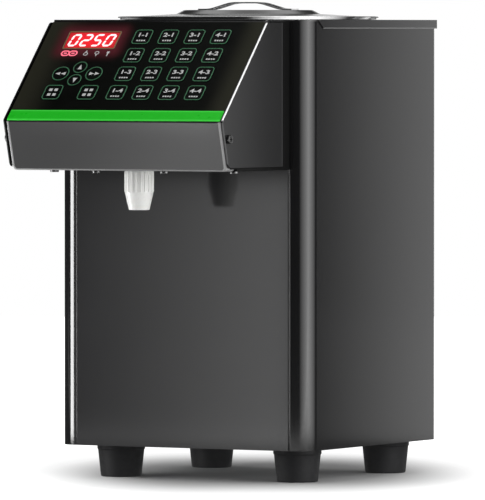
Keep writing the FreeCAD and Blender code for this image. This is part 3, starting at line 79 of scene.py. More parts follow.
class Finish:
    """One surface finish: a shader, and the patterns that feed its colour, gloss and relief."""

    def __init__(self, name, colour, roughness, metal=0.0, gloss=0.5):
        self.material = bpy.data.materials.new(name)
        self.material.use_nodes = True
        self.tree = self.material.node_tree
        self.shader = self.tree.nodes["Principled BSDF"]
        self.set("Base Color", (*colour, 1.0))
        self.set("Roughness", roughness)
        self.set("Metallic", metal)
        self.set("Specular IOR Level", gloss)
        self.place = self.node("ShaderNodeTexCoord").outputs["Object"]
        self.last_relief = None

    def set(self, socket, value):
        self.shader.inputs[socket].default_value = value

    def node(self, kind, **settings):
        made = self.tree.nodes.new(kind)
        for key, value in settings.items():
            setattr(made, key, value)
        return made

    def feed(self, value, socket):
        if isinstance(value, bpy.types.NodeSocket):
            self.tree.links.new(value, socket)
        else:
            socket.default_value = value

    def sum(self, operation, one, other=0.0):
        made = self.node("ShaderNodeMath", operation=operation)
        self.feed(one, made.inputs[0])
        self.feed(other, made.inputs[1])
        return made.outputs[0]

    def spread(self, value, low, high, new_low=0.0, new_high=1.0):
        made = self.node("ShaderNodeMapRange", interpolation_type="SMOOTHSTEP")
        for socket, number in zip(made.inputs, (value, low, high, new_low, new_high)):
            self.feed(number, socket)
        return made.outputs[0]

    def parts(self, vector=None):
        made = self.node("ShaderNodeSeparateXYZ")
        self.feed(vector or self.place, made.inputs[0])
        return made.outputs

    def along(self, direction, origin=(0.0, 0.0, 0.0)):
        """How far a point lies from the origin in one direction."""
        shift = self.node("ShaderNodeVectorMath", operation="SUBTRACT")
        self.feed(self.place, shift.inputs[0])
        self.feed(tuple(origin), shift.inputs[1])
        dot = self.node("ShaderNodeVectorMath", operation="DOT_PRODUCT")
        self.feed(shift.outputs[0], dot.inputs[0])
        self.feed(tuple(direction), dot.inputs[1])
        return dot.outputs["Value"]

    def grain(self, scale, stretch=(1.0, 1.0, 1.0), detail=3.0, rough=0.55, vector=None):
        """An even random pattern; scale is its waves per metre."""
        stretched = self.node("ShaderNodeMapping")
        self.feed(vector or self.place, stretched.inputs["Vector"])
        stretched.inputs["Scale"].default_value = stretch
        noise = self.node("ShaderNodeTexNoise")
        self.feed(stretched.outputs[0], noise.inputs["Vector"])
        noise.inputs["Scale"].default_value = scale
        noise.inputs["Detail"].default_value = detail
        noise.inputs["Roughness"].default_value = rough
        return noise.outputs["Fac"]

    def tint(self, share, low, high):
        """Mix two colours by a pattern, as the surface's colour."""
        mix = self.node("ShaderNodeMix", data_type="RGBA")
        self.feed(share, mix.inputs[0])
        self.feed(low if isinstance(low, bpy.types.NodeSocket) else (*low, 1.0), mix.inputs[6])
        self.feed((*high, 1.0), mix.inputs[7])
        self.tree.links.new(mix.outputs[2], self.shader.inputs["Base Color"])
        return mix.outputs[2]

    def polish(self, share, low, high):
        self.tree.links.new(self.spread(share, 0.3, 0.7, low, high), self.shader.inputs["Roughness"])

    def relief(self, height, distance, strength=1.0):
        bump = self.node("ShaderNodeBump")
        bump.inputs["Strength"].default_value = strength
        bump.inputs["Distance"].default_value = distance
        self.feed(height, bump.inputs["Height"])
        if self.last_relief:
            self.feed(self.last_relief, bump.inputs["Normal"])
        self.last_relief = bump.outputs[0]
        self.tree.links.new(self.last_relief, self.shader.inputs["Normal"])


def powder_paint(name, depth=1.0):
    """Dark grey satin powder coat with its fine orange-peel skin."""
    paint = Finish(name, (0.013, 0.013, 0.014), 0.10)
    cloud = paint.spread(paint.grain(9.0, detail=4.0), 0.3, 0.7)
    # depth below 1 makes a darker copy of the same paint, standing in for shade
    tone = paint.tint(cloud, tuple(depth * c for c in (0.0122, 0.0122, 0.0128)),
                      tuple(depth * c for c in (0.0142, 0.0142, 0.0148)))
    paint.polish(paint.grain(420.0), 0.09, 0.12)
    paint.relief(paint.grain(1000.0, detail=2.0), 0.00002, 0.12)
    return paint, tone


def shell_paint():
    """The wrap: a darker copy of the panel paint, at half its depth, standing in for shade on the sides, with
    a painted highlight as a light line along the folded rear edge.
    """
    paint, tone = powder_paint("shell_powder_paint", 0.5)
    y = paint.parts()[1]
    off = paint.sum("ABSOLUTE", paint.sum("SUBTRACT", y, REAR - 2.6 * MM))
    # painted highlight: a light line 2.6 mm in from the rear edge
    paint.tint(paint.spread(off, 0.5 * MM, 1.2 * MM, 1.0, 0.0), tone, (0.085, 0.085, 0.088))
    return paint.material


def cover_paint():
    """The top cover: a painted highlight, a light line along the lower edge of its flanges."""
    paint, tone = powder_paint("cover_powder_paint")
    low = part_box("top_cover")[0].z
    z = paint.parts()[2]
    # painted highlight along the flanges' lower edge
    paint.tint(paint.spread(z, low + 0.6 * MM, low + 1.1 * MM, 1.0, 0.0), tone, (0.10, 0.10, 0.10))
    return paint.material


def head_paint():
    """The head's folded sheet: a thin painted highlight line round its lower face, with round corners."""
    paint, tone = powder_paint("head_powder_paint")
    x, _, z = paint.parts()
    across = paint.sum("SUBTRACT", paint.sum("ABSOLUTE", x), 105.0 * MM)
    down = paint.sum("SUBTRACT", HEAD_LOW + 4.0 * MM, z)
    inner = paint.sum("MINIMUM", paint.sum("MAXIMUM", across, down), 0.0)
    side = paint.sum("MAXIMUM", across, 0.0)
    end = paint.sum("MAXIMUM", down, 0.0)
    square = paint.sum("ADD", paint.sum("MULTIPLY", side, side), paint.sum("MULTIPLY", end, end))
    outer = paint.sum("SQRT", square)
    inside = paint.sum("SUBTRACT", 4.0 * MM, paint.sum("ADD", inner, outer))
    # painted highlight: the light line round the lower face
    line = paint.spread(inside, 0.9 * MM, 1.6 * MM, 1.0, 0.0)
    below = paint.spread(z, KNEE.z - 1.5 * MM, KNEE.z - 0.5 * MM, 1.0, 0.0)
    paint.tint(paint.sum("MULTIPLY", line, below), tone, (0.26, 0.26, 0.26))
    return paint.material


def plate_paint():
    """The end plates: a darker copy of the paint that stands in for shade, no reflection on their strip by
    the case as painted shade, and a painted highlight up the right plate's slope edge.
    """
    paint, tone = powder_paint("end_plate_paint", 0.55)
    _, out = slope_axes()
    x, y, z = paint.parts()
    # painted shade: reflection taken away within about 15 mm of the case
    rear = paint.spread(y, FRONT - 16.5 * MM, FRONT - 13.5 * MM, 1.0, 0.0)
    paint.feed(paint.sum("MULTIPLY", rear, 0.5), paint.shader.inputs["Specular IOR Level"])
    # painted highlight: a near-white, part-metal line up the right plate's slope edge
    edge = paint.spread(paint.along(out, KNEE), -0.6 * MM, -0.3 * MM)
    above = paint.spread(z, KNEE.z, KNEE.z + 1.0 * MM)
    painted_highlight_edge = paint.sum("MULTIPLY", paint.sum("MULTIPLY", edge, above), paint.sum("GREATER_THAN", x, 0.0))
    paint.tint(painted_highlight_edge, tone, (0.95, 0.95, 0.95))
    paint.feed(paint.sum("MULTIPLY", painted_highlight_edge, 0.4), paint.shader.inputs["Metallic"])
    return paint.material


def black_paint():
    paint = Finish("black_satin_paint", (0.004, 0.004, 0.004), 0.42, gloss=0.05)
    paint.tint(paint.grain(40.0), (0.003, 0.003, 0.003), (0.005, 0.005, 0.005))
    paint.polish(paint.grain(120.0), 0.38, 0.50)
    paint.relief(paint.grain(1100.0, detail=2.0), 0.00003, 0.2)
    return paint.material


def zinc_sheet():
    zinc = Finish("zinc_plated_sheet", (0.55, 0.56, 0.56), 0.35, metal=1.0)
    flakes = zinc.node("ShaderNodeTexVoronoi")
    zinc.feed(zinc.place, flakes.inputs["Vector"])
    flakes.inputs["Scale"].default_value = 160.0
    tone = zinc.parts(flakes.outputs["Color"])[0]
    zinc.tint(tone, (0.46, 0.47, 0.48), (0.62, 0.63, 0.63))
    zinc.polish(tone, 0.30, 0.44)
    zinc.relief(zinc.grain(500.0), 0.00002, 0.3)
    return zinc.material


def plated_screws():
    plate = Finish("black_plated_screws", (0.12, 0.12, 0.12), 0.26, metal=1.0)
    plate.tint(plate.grain(900.0), (0.08, 0.08, 0.08), (0.16, 0.16, 0.16))
    plate.polish(plate.grain(600.0), 0.20, 0.36)
    plate.relief(plate.grain(2200.0), 0.00001, 0.4)
    return plate.material


def foot_rubber():
    rubber = Finish("moulded_foot_rubber", (0.014, 0.014, 0.015), 0.55, gloss=0.4)
    rubber.tint(rubber.grain(60.0), (0.007, 0.007, 0.008), (0.013, 0.013, 0.014))
    rubber.polish(rubber.grain(200.0), 0.48, 0.66)
    rubber.relief(rubber.grain(1600.0, detail=2.0), 0.00004, 0.5)
    return rubber.material


def seal_silicone():
    seal = Finish("white_silicone_seal", (0.62, 0.61, 0.58), 0.5)
    seal.tint(seal.grain(90.0), (0.56, 0.55, 0.52), (0.68, 0.67, 0.64))
    seal.relief(seal.grain(900.0), 0.00002, 0.4)
    seal.set("Subsurface Weight", 0.2)
    seal.set("Subsurface Radius", (0.002, 0.002, 0.0018))
    return seal.material


def ring_place(finish):
    """Radius from the tank's axis, for rings left by spinning."""
    x, y, _ = finish.parts()
    away = finish.sum("SUBTRACT", y, TANK_Y)
    square = finish.sum("ADD", finish.sum("MULTIPLY", x, x), finish.sum("MULTIPLY", away, away))
    return finish.sum("SQRT", square)


def spun_steel(name, colour, roughness):
    """Stainless steel with the fine rings of metal spinning."""
    steel = Finish(name, colour, roughness, metal=1.0)
    radius = ring_place(steel)
    line = steel.node("ShaderNodeCombineXYZ")
    steel.feed(radius, line.inputs[0])
    rings = steel.grain(2600.0, detail=3.0, rough=0.7, vector=line.outputs[0])
    cloud = steel.grain(18.0)
    steel.tint(rings, tuple(c * 0.86 for c in colour), tuple(min(c * 1.1, 0.95) for c in colour))
    worn = steel.sum("MULTIPLY", steel.sum("ADD", rings, cloud), 0.5)
    steel.polish(worn, roughness * 0.8, roughness * 1.35)
    steel.relief(rings, 0.000012, 0.4)
    return steel.material


def brushed_steel():
    """Stainless tank wall, brushed upright."""
    steel = Finish("brushed_tank_steel", (0.60, 0.60, 0.60), 0.28, metal=1.0)
    lines = steel.grain(1800.0, stretch=(1.0, 1.0, 0.02), detail=4.0, rough=0.7)
    steel.tint(lines, (0.52, 0.52, 0.52), (0.66, 0.66, 0.66))
    steel.polish(lines, 0.22, 0.36)
    steel.relief(lines, 0.00001, 0.35)
    return steel.material


def moulded_plastic(name, colour, roughness):
    plastic = Finish(name, colour, roughness)
    plastic.tint(plastic.grain(80.0), tuple(c * 0.85 for c in colour), tuple(c * 1.15 for c in colour))
    plastic.polish(plastic.grain(150.0), roughness * 0.85, roughness * 1.15)
    plastic.relief(plastic.grain(2400.0, detail=2.0), 0.00002, 0.35)
    return plastic.material


def milky_silicone():
    hose = Finish("milky_silicone_hose", (0.72, 0.72, 0.67), 0.38)
    hose.tint(hose.grain(60.0), (0.66, 0.66, 0.60), (0.78, 0.78, 0.73))
    hose.polish(hose.grain(300.0), 0.30, 0.48)
    hose.relief(hose.grain(700.0), 0.00002, 0.3)
    hose.set("Subsurface Weight", 0.35)
    hose.set("Subsurface Radius", (0.003, 0.003, 0.0026))
    return hose.material


def machined_brass():
    brass = Finish("machined_brass", (0.72, 0.55, 0.26), 0.24, metal=1.0)
    lines = brass.grain(2000.0, stretch=(0.04, 1.0, 1.0), detail=3.0, rough=0.7)
    brass.tint(brass.grain(70.0), (0.64, 0.47, 0.21), (0.78, 0.61, 0.31))
    brass.polish(lines, 0.18, 0.34)
    brass.relief(lines, 0.00001, 0.4)
    return brass.material


def ground_steel():
    steel = Finish("ground_gear_steel", (0.52, 0.52, 0.53), 0.25, metal=1.0)
    lines = steel.grain(2600.0, stretch=(1.0, 0.05, 1.0), detail=3.0, rough=0.7)
    steel.tint(lines, (0.44, 0.44, 0.45), (0.58, 0.58, 0.59))
    steel.polish(lines, 0.18, 0.34)
    steel.relief(lines, 0.000008, 0.4)
    return steel.material


def motor_enamel():
    enamel = Finish("motor_enamel", (0.060, 0.062, 0.066), 0.4)
    enamel.tint(enamel.grain(50.0), (0.050, 0.052, 0.056), (0.075, 0.077, 0.082))
    enamel.polish(enamel.grain(180.0), 0.34, 0.48)
    enamel.relief(enamel.grain(800.0), 0.00003, 0.4)
    return enamel.material


def folded_aluminium():
    sheet = Finish("folded_aluminium", (0.72, 0.72, 0.73), 0.34, metal=1.0)
    lines = sheet.grain(1500.0, stretch=(1.0, 0.03, 1.0), detail=3.0, rough=0.7)
    sheet.tint(lines, (0.64, 0.64, 0.65), (0.78, 0.78, 0.79))
    sheet.polish(lines, 0.28, 0.42)
    sheet.relief(lines, 0.00001, 0.3)
    return sheet.material


def slope_axes():
    up = (0.0, math.cos(SLOPE), math.sin(SLOPE))
    out = (0.0, -math.sin(SLOPE), math.cos(SLOPE))
    return up, out


def keypad_foil():
    """Black printed foil, with a painted warm sheen towards its left and right edges and the display's red
    light painted on it round the window.
    """
    foil = Finish("printed_keypad_foil", (0.001, 0.001, 0.001), 0.34, gloss=0.04)
    up, _ = slope_axes()
    x = foil.parts()[0]
    height = foil.along(up, KNEE)
    # painted light: the display's red glow, strongest next to the window
    side = foil.sum("MAXIMUM", foil.sum("SUBTRACT", foil.sum(
        "ABSOLUTE", foil.sum("ADD", x, 59.9 * MM)), 27.0 * MM), 0.0)
    end = foil.sum("MAXIMUM", foil.sum("SUBTRACT", foil.sum(
        "ABSOLUTE", foil.sum("SUBTRACT", height, 97.0 * MM)), 11.0 * MM), 0.0)
    away = foil.sum("SQRT", foil.sum("ADD", foil.sum("MULTIPLY", side, side), foil.sum("MULTIPLY", end, end)))
    glow = foil.spread(away, 0.0, 19.0 * MM, 1.0, 0.0)
    glow = foil.sum("MULTIPLY", glow, glow)
    ground = foil.tint(foil.grain(26.0, detail=4.0), (0.0006, 0.0010, 0.0006), (0.0016, 0.0022, 0.0014))
    # painted sheen: lighter and warmer towards the left and right edges
    left = foil.spread(x, -108.0 * MM, -66.0 * MM, 1.0, 0.0)
    right = foil.spread(x, 84.0 * MM, 108.0 * MM)
    painted_sheen = foil.tint(foil.sum("MAXIMUM", left, right), ground, (0.020, 0.020, 0.013))
    foil.tint(glow, painted_sheen, (0.085, 0.012, 0.018))
    foil.polish(foil.grain(160.0), 0.28, 0.40)
    foil.relief(foil.grain(3200.0, detail=2.0), 0.00001, 0.35)
    return foil.material


def key_foil():
    """The keys' own faces: the same foil, embossed, a little bluer and finer."""
    foil = Finish("embossed_key_foil", (0.001, 0.002, 0.001), 0.3, gloss=0.04)
    foil.tint(foil.grain(300.0), (0.0008, 0.0014, 0.0010), (0.0022, 0.0034, 0.0026))
    foil.polish(foil.grain(260.0), 0.24, 0.36)
    foil.relief(foil.grain(3200.0, detail=2.0), 0.00001, 0.35)
    return foil.material


def green_band():
    """Bright green print, a shade lighter along both long edges."""
    band = Finish("green_printed_band", (0.010, 0.55, 0.012), 0.32, gloss=0.12)
    up, _ = slope_axes()
    off = band.sum("ABSOLUTE", band.sum("SUBTRACT", band.along(up, KNEE), 6.7 * MM))
    core = band.tint(band.grain(120.0), (0.007, 0.50, 0.009), (0.012, 0.56, 0.016))
    band.tint(band.spread(off, 3.6 * MM, 5.6 * MM), core, (0.050, 0.72, 0.055))
    band.polish(band.grain(200.0), 0.27, 0.38)
    band.relief(band.grain(3200.0, detail=2.0), 0.00001, 0.3)
    return band.material


def display_window():
    """The lit red window; it glows most in its middle."""
    window = Finish("lit_red_window", (0.55, 0.012, 0.02), 0.18)
    up, _ = slope_axes()
    x = window.parts()[0]
    side = window.sum("ABSOLUTE", window.sum("ADD", x, 59.9 * MM))
    end = window.sum("ABSOLUTE", window.sum("SUBTRACT", window.along(up, KNEE), 98.5 * MM))
    near = window.sum("MULTIPLY", window.spread(side, 14.0 * MM, 27.0 * MM, 1.0, 0.35),
                      window.spread(end, 3.0 * MM, 10.0 * MM, 1.0, 0.55))
    window.tint(window.grain(400.0), (0.48, 0.008, 0.014), (0.62, 0.014, 0.024))
    window.set("Emission Color", (0.86, 0.012, 0.022, 1.0))
    window.feed(window.sum("MULTIPLY", near, 0.62), window.shader.inputs["Emission Strength"])
    window.relief(window.grain(2000.0), 0.000006, 0.3)
    return window.material


def lit(name, colour, strength):
    """A small lit mark: printed colour with its own light."""
    mark = Finish(name, colour, 0.35)
    mark.tint(mark.grain(1500.0), tuple(c * 0.94 for c in colour), colour)
    mark.set("Emission Color", (*colour, 1.0))
    mark.set("Emission Strength", strength)
    return mark.material


def ink(name, colour):
    """Screen-printed ink with slightly uneven cover."""
    print_ = Finish(name, colour, 0.42)
    print_.tint(print_.grain(2600.0), tuple(c * 0.8 for c in colour), colour)
    print_.relief(print_.grain(4000.0), 0.000006, 0.4)
    return print_.material


def circuit_board():
    """Green solder mask with paler tracks under it."""
    board = Finish("green_circuit_board", (0.02, 0.16, 0.06), 0.35)
    cells = board.node("ShaderNodeTexBrick")
    board.feed(board.place, cells.inputs["Vector"])
    cells.inputs["Scale"].default_value = 90.0
    cells.inputs["Mortar Size"].default_value = 0.03
    board.tint(cells.outputs["Fac"], (0.014, 0.13, 0.045), (0.05, 0.28, 0.10))
    board.relief(cells.outputs["Fac"], 0.00003, 0.5)
    return board.material


def nozzle_plastic():
    """White, faintly translucent moulding."""
    white = Finish("translucent_white_moulding", (0.80, 0.80, 0.78), 0.32)
    white.tint(white.grain(120.0), (0.76, 0.76, 0.74), (0.84, 0.84, 0.82))
    white.polish(white.grain(300.0), 0.26, 0.38)
    white.relief(white.grain(1500.0), 0.00001, 0.3)
    white.set("Subsurface Weight", 0.3)
    white.set("Subsurface Radius", (0.004, 0.004, 0.0038))
    return white.material


PAINT = powder_paint("panel_powder_paint")[0].material
SHELL = shell_paint()
COVER = cover_paint()
HEAD = head_paint()
PLATE = plate_paint()
BLACK = black_paint()
ZINC = zinc_sheet()
SCREW = plated_screws()
RUBBER = foot_rubber()
SEAL = seal_silicone()
LID = spun_steel("spun_lid_steel", (0.70, 0.70, 0.70), 0.16)
STRAP = spun_steel("polished_strap_steel", (0.68, 0.68, 0.68), 0.14)
TANK = brushed_steel()
PLASTIC = moulded_plastic("moulded_black_plastic", (0.016, 0.016, 0.017), 0.42)
ROCKER = moulded_plastic("glossy_rocker_plastic", (0.020, 0.020, 0.021), 0.16)
HOSE = milky_silicone()
BRASS = machined_brass()
GEAR = ground_steel()
MOTOR = motor_enamel()
CASE = folded_aluminium()
FOIL = keypad_foil()
KEY = key_foil()
BAND = green_band()
WINDOW = display_window()
DIGIT = lit("lit_digits", (1.0, 0.80, 0.82), 0.55)
LAMP_RED = lit("lit_red_mark", (1.0, 0.16, 0.24), 0.45)
BOARD = circuit_board()
NOZZLE = nozzle_plastic()
GREEN_INK = ink("green_outline_ink", (0.032, 0.165, 0.07))
WHITE_INK = ink("white_print_ink", (0.62, 0.62, 0.62))
OLIVE_INK = ink("olive_frame_ink", (0.20, 0.13, 0.05))

FINISHES = {
    "body_shell": SHELL, "front_panel": PAINT, "top_cover": COVER, "head_cover": HEAD,
    "head_side_plates": PLATE, "head_frame": BLACK, "head_bottom": BLACK, "base_plate": ZINC,
    "motor_bracket": ZINC, "board_pillars": ZINC, "case_screws": SCREW, "head_screws": SCREW,
    "hose_clamps": SCREW, "rubber_feet": RUBBER, "tank_gasket": SEAL, "syrup_tank": TANK,
    "lid_disc": LID, "lid_handle": STRAP, "tank_outlet": PLASTIC, "nozzle_body": PLASTIC,
    "power_inlet": PLASTIC, "switch_frame": PLASTIC, "switch_rocker": ROCKER, "suction_hose": HOSE,
    "delivery_hose": HOSE, "pump_housing": BRASS, "pump_cover": BRASS, "drive_gear": GEAR,
    "driven_gear": GEAR, "idler_pin": GEAR, "motor_shaft": GEAR, "motor_can": MOTOR,
    "power_supply": CASE, "keypad_overlay": FOIL, "green_stripe": BAND, "display_module": WINDOW,
    "control_board": BOARD, "nozzle_cap": NOZZLE,
}
for node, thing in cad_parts.items():
    thing.data.materials.clear()
    thing.data.materials.append(FINISHES.get(node, KEY))


# Shared ways of making pieces

def smooth(mesh, angle=32.0):
    mesh.shade_smooth()
    mesh.set_sharp_from_angle(angle=math.radians(angle))
    return mesh


def piece(name, mesh, materials, body):
    """A finished piece at the origin that rides on a body."""
    mesh.name = name
    for number, material in enumerate(materials):
        if number == len(mesh.materials):
            mesh.materials.append(material)
        mesh.materials[number] = material
    made = bpy.data.objects.new(name, mesh)
    scene.collection.objects.link(made)
    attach(made, body)
    return made


def from_bmesh(shape, name):
    mesh = bpy.data.meshes.new(name)
    shape.to_mesh(mesh)
    shape.free()
    return mesh


def joined(parts):
    """One mesh from several; each part is a mesh and the number of its material."""
    shape = bmesh.new()
    for mesh, number in parts:
        start = len(shape.faces)
        shape.from_mesh(mesh)
        shape.faces.ensure_lookup_table()
        for face in shape.faces[start:]:
            face.material_index = number
        bpy.data.meshes.remove(mesh)
    return from_bmesh(shape, "joined")


def softened(corners, steps=5):
    """A closed outline with its corners rounded; each corner is across, up and radius."""
    outline = []
    for number, (x, y, radius) in enumerate(corners):
        here = Vector((x, y))
        if not radius:
            outline.append((x, y))
            continue
        back = Vector(corners[number - 1][:2]) - here
        ahead = Vector(corners[(number + 1) % len(corners)][:2]) - here
        half = back.angle(ahead) / 2
        reach = min(radius / math.tan(half), back.length * 0.49, ahead.length * 0.49)
        true = reach * math.tan(half)
        middle = here + (back.normalized() + ahead.normalized()).normalized() * (true / math.sin(half))
        first = here + back.normalized() * reach - middle
        last = here + ahead.normalized() * reach - middle
        turn = first.angle_signed(last)
        for step in range(steps + 1):
            point = first.copy()
            point.rotate(Matrix.Rotation(-turn * step / steps, 2))
            outline.append(tuple(middle + point))
    return outline


def spun(outline, x, y, sides=96):
    """Turn a closed outline of radius and height about an upright axis."""
    shape = bmesh.new()
    rings = []
    for number in range(sides):
        angle = 2 * math.pi * number / sides
        across, along = math.cos(angle), math.sin(angle)
        rings.append([shape.verts.new((x + r * across, y + r * along, z)) for r, z in outline])
    count = len(outline)
    for number in range(sides):
        ring, following = rings[number], rings[(number + 1) % sides]
        for step in range(count):
            ends = (step, (step + 1) % count)
            if outline[ends[0]][0] < 1e-9 and outline[ends[1]][0] < 1e-9:
                continue
            shape.faces.new((ring[ends[0]], following[ends[0]], following[ends[1]], ring[ends[1]]))
    bmesh.ops.remove_doubles(shape, verts=shape.verts, dist=1e-7)
    bmesh.ops.dissolve_degenerate(shape, edges=shape.edges, dist=1e-8)
    bmesh.ops.recalc_face_normals(shape, faces=shape.faces)
    return smooth(from_bmesh(shape, "spun"))


def plate(outline, low, high, matrix=None):
    """A flat plate from an outline between two heights, then moved to its place."""
    shape = bmesh.new()
    foot = [shape.verts.new((x, y, low)) for x, y in outline]
    top = [shape.verts.new((x, y, high)) for x, y in outline]
    shape.faces.new(list(reversed(foot)))
    shape.faces.new(top)
    for number in range(len(outline)):
        following = (number + 1) % len(outline)
        shape.faces.new((foot[number], foot[following], top[following], top[number]))
    bmesh.ops.recalc_face_normals(shape, faces=shape.faces)
    mesh = from_bmesh(shape, "plate")
    if matrix:
        mesh.transform(matrix)
    return mesh


def slope_place(across=0.0, up=0.0, out=0.0):
    """From a flat drawing to the slope: X across, Y up the slope, Z out of it."""
    cos, sin = math.cos(SLOPE), math.sin(SLOPE)
    turn = Matrix(((1, 0, 0, 0), (0, cos, -sin, 0), (0, sin, cos, 0), (0, 0, 0, 1)))
    return Matrix.Translation(KNEE) @ turn @ Matrix.Translation((across, up, out))


# Trees for what repeats

class Tree:
    """A Geometry Nodes tree with named inputs."""

    def __init__(self, name, inputs):
        self.group = bpy.data.node_groups.new(name, "GeometryNodeTree")
        sockets = self.group.interface
        sockets.new_socket("Geometry", in_out="INPUT", socket_type="NodeSocketGeometry")
        for label, kind in inputs:
            sockets.new_socket(label, in_out="INPUT", socket_type="NodeSocket" + kind)
        sockets.new_socket("Geometry", in_out="OUTPUT", socket_type="NodeSocketGeometry")
        self.given = self.group.nodes.new("NodeGroupInput").outputs
        self.result = self.group.nodes.new("NodeGroupOutput").inputs[0]

    def add(self, kind, sockets=None, **settings):
        node = self.group.nodes.new("GeometryNode" + kind if not kind.startswith("Shader") else kind)
        for key, value in settings.items():
            setattr(node, key, value)
        for key, value in (sockets or {}).items():
            for part in value if isinstance(value, list) else [value]:
                if isinstance(part, bpy.types.NodeSocket):
                    self.group.links.new(part, node.inputs[key])
                else:
                    node.inputs[key].default_value = part
        return node.outputs

    def sum(self, operation, one, other=0.0):
        return self.add("ShaderNodeMath", {0: one, 1: other}, operation=operation)[0]

    def vector(self, x=0.0, y=0.0, z=0.0):
        return self.add("ShaderNodeCombineXYZ", {0: x, 1: y, 2: z})[0]

    def end(self, shape):
        real = self.add("RealizeInstances", {0: shape})[0]
        dressed = self.add("SetMaterial", {"Geometry": real, "Material": self.given["Material"]})[0]
        self.group.links.new(dressed, self.result)


def grown(tree, start, sizes):
    """Run a tree on a starting mesh and keep the result as a plain mesh."""
    carrier = bpy.data.objects.new("carrier", start)
    scene.collection.objects.link(carrier)
    shaping = carrier.modifiers.new("shaping", "NODES")
    shaping.node_group = tree.group
    for item in tree.group.interface.items_tree:
        if item.item_type == "SOCKET" and item.in_out == "INPUT" and item.name in sizes:
            shaping[item.identifier] = sizes[item.name]
    carrier.update_tag()
    seen = carrier.evaluated_get(bpy.context.evaluated_depsgraph_get())
    mesh = bpy.data.meshes.new_from_object(seen)
    carrier.modifiers.remove(shaping)
    bpy.data.objects.remove(carrier)
    bpy.data.meshes.remove(start)
    return mesh


def start_points(places):
    """A mesh of loose points, each with the turn of what stands on it."""
    mesh = bpy.data.meshes.new("start_points")
    mesh.from_pydata([place for place, _ in places], [], [])
    turns = mesh.attributes.new("turn", "FLOAT_VECTOR", "POINT")
    for number, (_, turn) in enumerate(places):
        turns.data[number].vector = turn
    return mesh


def screw_tree():
    """Pan-head screws with a cross recess and a plain shank, one on each point."""
    tree = Tree("pan_head_screws", (
        ("Head Radius", "Float"), ("Head Height", "Float"), ("Recess Reach", "Float"),
        ("Recess Width", "Float"), ("Recess Depth", "Float"), ("Shank Radius", "Float"),
        ("Shank Length", "Float"), ("Material", "Material")))
    given = tree.given
    disc = tree.add("MeshCylinder", {
        "Vertices": 20, "Side Segments": 3, "Fill Segments": 4, "Radius": given["Head Radius"],
        "Depth": given["Head Height"]})[0]
    soft = tree.add("SubdivisionSurface", {"Mesh": disc, "Level": 2})[0]
    head = tree.add("Transform", {
        "Geometry": soft, "Translation": tree.vector(z=tree.sum("MULTIPLY", given["Head Height"], 0.5))})[0]
    deep = tree.sum("MULTIPLY", given["Recess Depth"], 2.0)
    slots = []
    reach, width = given["Recess Reach"], given["Recess Width"]
    for size in ((reach, width), (width, reach)):
        bar = tree.add("MeshCube", {"Size": tree.vector(*size, deep)})[0]
        slots.append(tree.add("Transform", {
            "Geometry": bar, "Translation": tree.vector(z=given["Head Height"])})[0])
    cross = tree.add("MeshBoolean", {"Mesh 2": slots}, operation="UNION")[0]
    cut = tree.add("MeshBoolean", {"Mesh 1": head, "Mesh 2": cross}, operation="DIFFERENCE")[0]
    rod = tree.add("MeshCylinder", {
        "Vertices": 20, "Radius": given["Shank Radius"], "Depth": given["Shank Length"]})[0]
    shank = tree.add("Transform", {
        "Geometry": rod, "Translation": tree.vector(z=tree.sum("MULTIPLY", given["Shank Length"], -0.5))})[0]
    whole = tree.add("JoinGeometry", {"Geometry": [cut, shank]})[0]
    turn = tree.add("InputNamedAttribute", {"Name": "turn"}, data_type="FLOAT_VECTOR")[0]
    tree.end(tree.add("InstanceOnPoints", {
        "Points": given["Geometry"], "Instance": whole, "Rotation": turn})[0])
    return tree


def outline_tree():
    """A raised line round a key or a window: a rounded rectangle swept by a flat bar."""
    tree = Tree("printed_outline", (
        ("Width", "Float"), ("Height", "Float"), ("Corner", "Float"), ("Line", "Float"),
        ("Thickness", "Float"), ("Material", "Material")))
    given = tree.given
    path = tree.add("CurvePrimitiveQuadrilateral", {"Width": given["Width"], "Height": given["Height"]})[0]
    rounded = tree.add("FilletCurve", {
        "Curve": path, "Radius": given["Corner"], "Count": 8, "Limit Radius": True}, mode="POLY")[0]
    bar = tree.add("CurvePrimitiveQuadrilateral", {"Width": given["Line"], "Height": given["Thickness"]})[0]
    tree.end(tree.add("CurveToMesh", {"Curve": rounded, "Profile Curve": bar})[0])
    return tree


def rib_tree():
    """Upright ribs in a ring round the nozzle."""
    tree = Tree("nozzle_ribs", (
        ("Count", "Int"), ("Ring Radius", "Float"), ("Rib Width", "Float"), ("Rib Depth", "Float"),
        ("Rib Length", "Float"), ("Material", "Material")))
    given = tree.given
    ring = tree.add("MeshCircle", {"Vertices": given["Count"], "Radius": given["Ring Radius"]})[0]
    rod = tree.add("MeshCylinder", {"Vertices": 10, "Side Segments": 4, "Fill Segments": 2, "Radius": 1.0,
                                    "Depth": 1.0})[0]
    soft = tree.add("SubdivisionSurface", {"Mesh": rod, "Level": 1})[0]
    rib = tree.add("Transform", {
        "Geometry": soft,
        "Scale": tree.vector(given["Rib Depth"], given["Rib Width"], given["Rib Length"])})[0]
    step = tree.sum("DIVIDE", 2 * math.pi, given["Count"])
    angle = tree.sum("MULTIPLY", tree.add("InputIndex")[0], step)
    tree.end(tree.add("InstanceOnPoints", {
        "Points": ring, "Instance": rib, "Rotation": tree.vector(z=angle)})[0])
    return tree


SCREWS = screw_tree()
OUTLINES = outline_tree()
RIBS = rib_tree()


# Screws

FACING = {
    "right": (0.0, math.pi / 2, 0.0), "left": (0.0, -math.pi / 2, 0.0), "down": (math.pi, 0.0, 0.3),
    "up": (0.0, 0.0, 0.4), "back": (-math.pi / 2, 0.0, 0.0),
}


def without_loose_points(mesh):
    shape = bmesh.new()
    shape.from_mesh(mesh)
    bmesh.ops.delete(shape, geom=[point for point in shape.verts if not point.link_faces], context="VERTS")
    shape.to_mesh(mesh)
    shape.free()
    return mesh


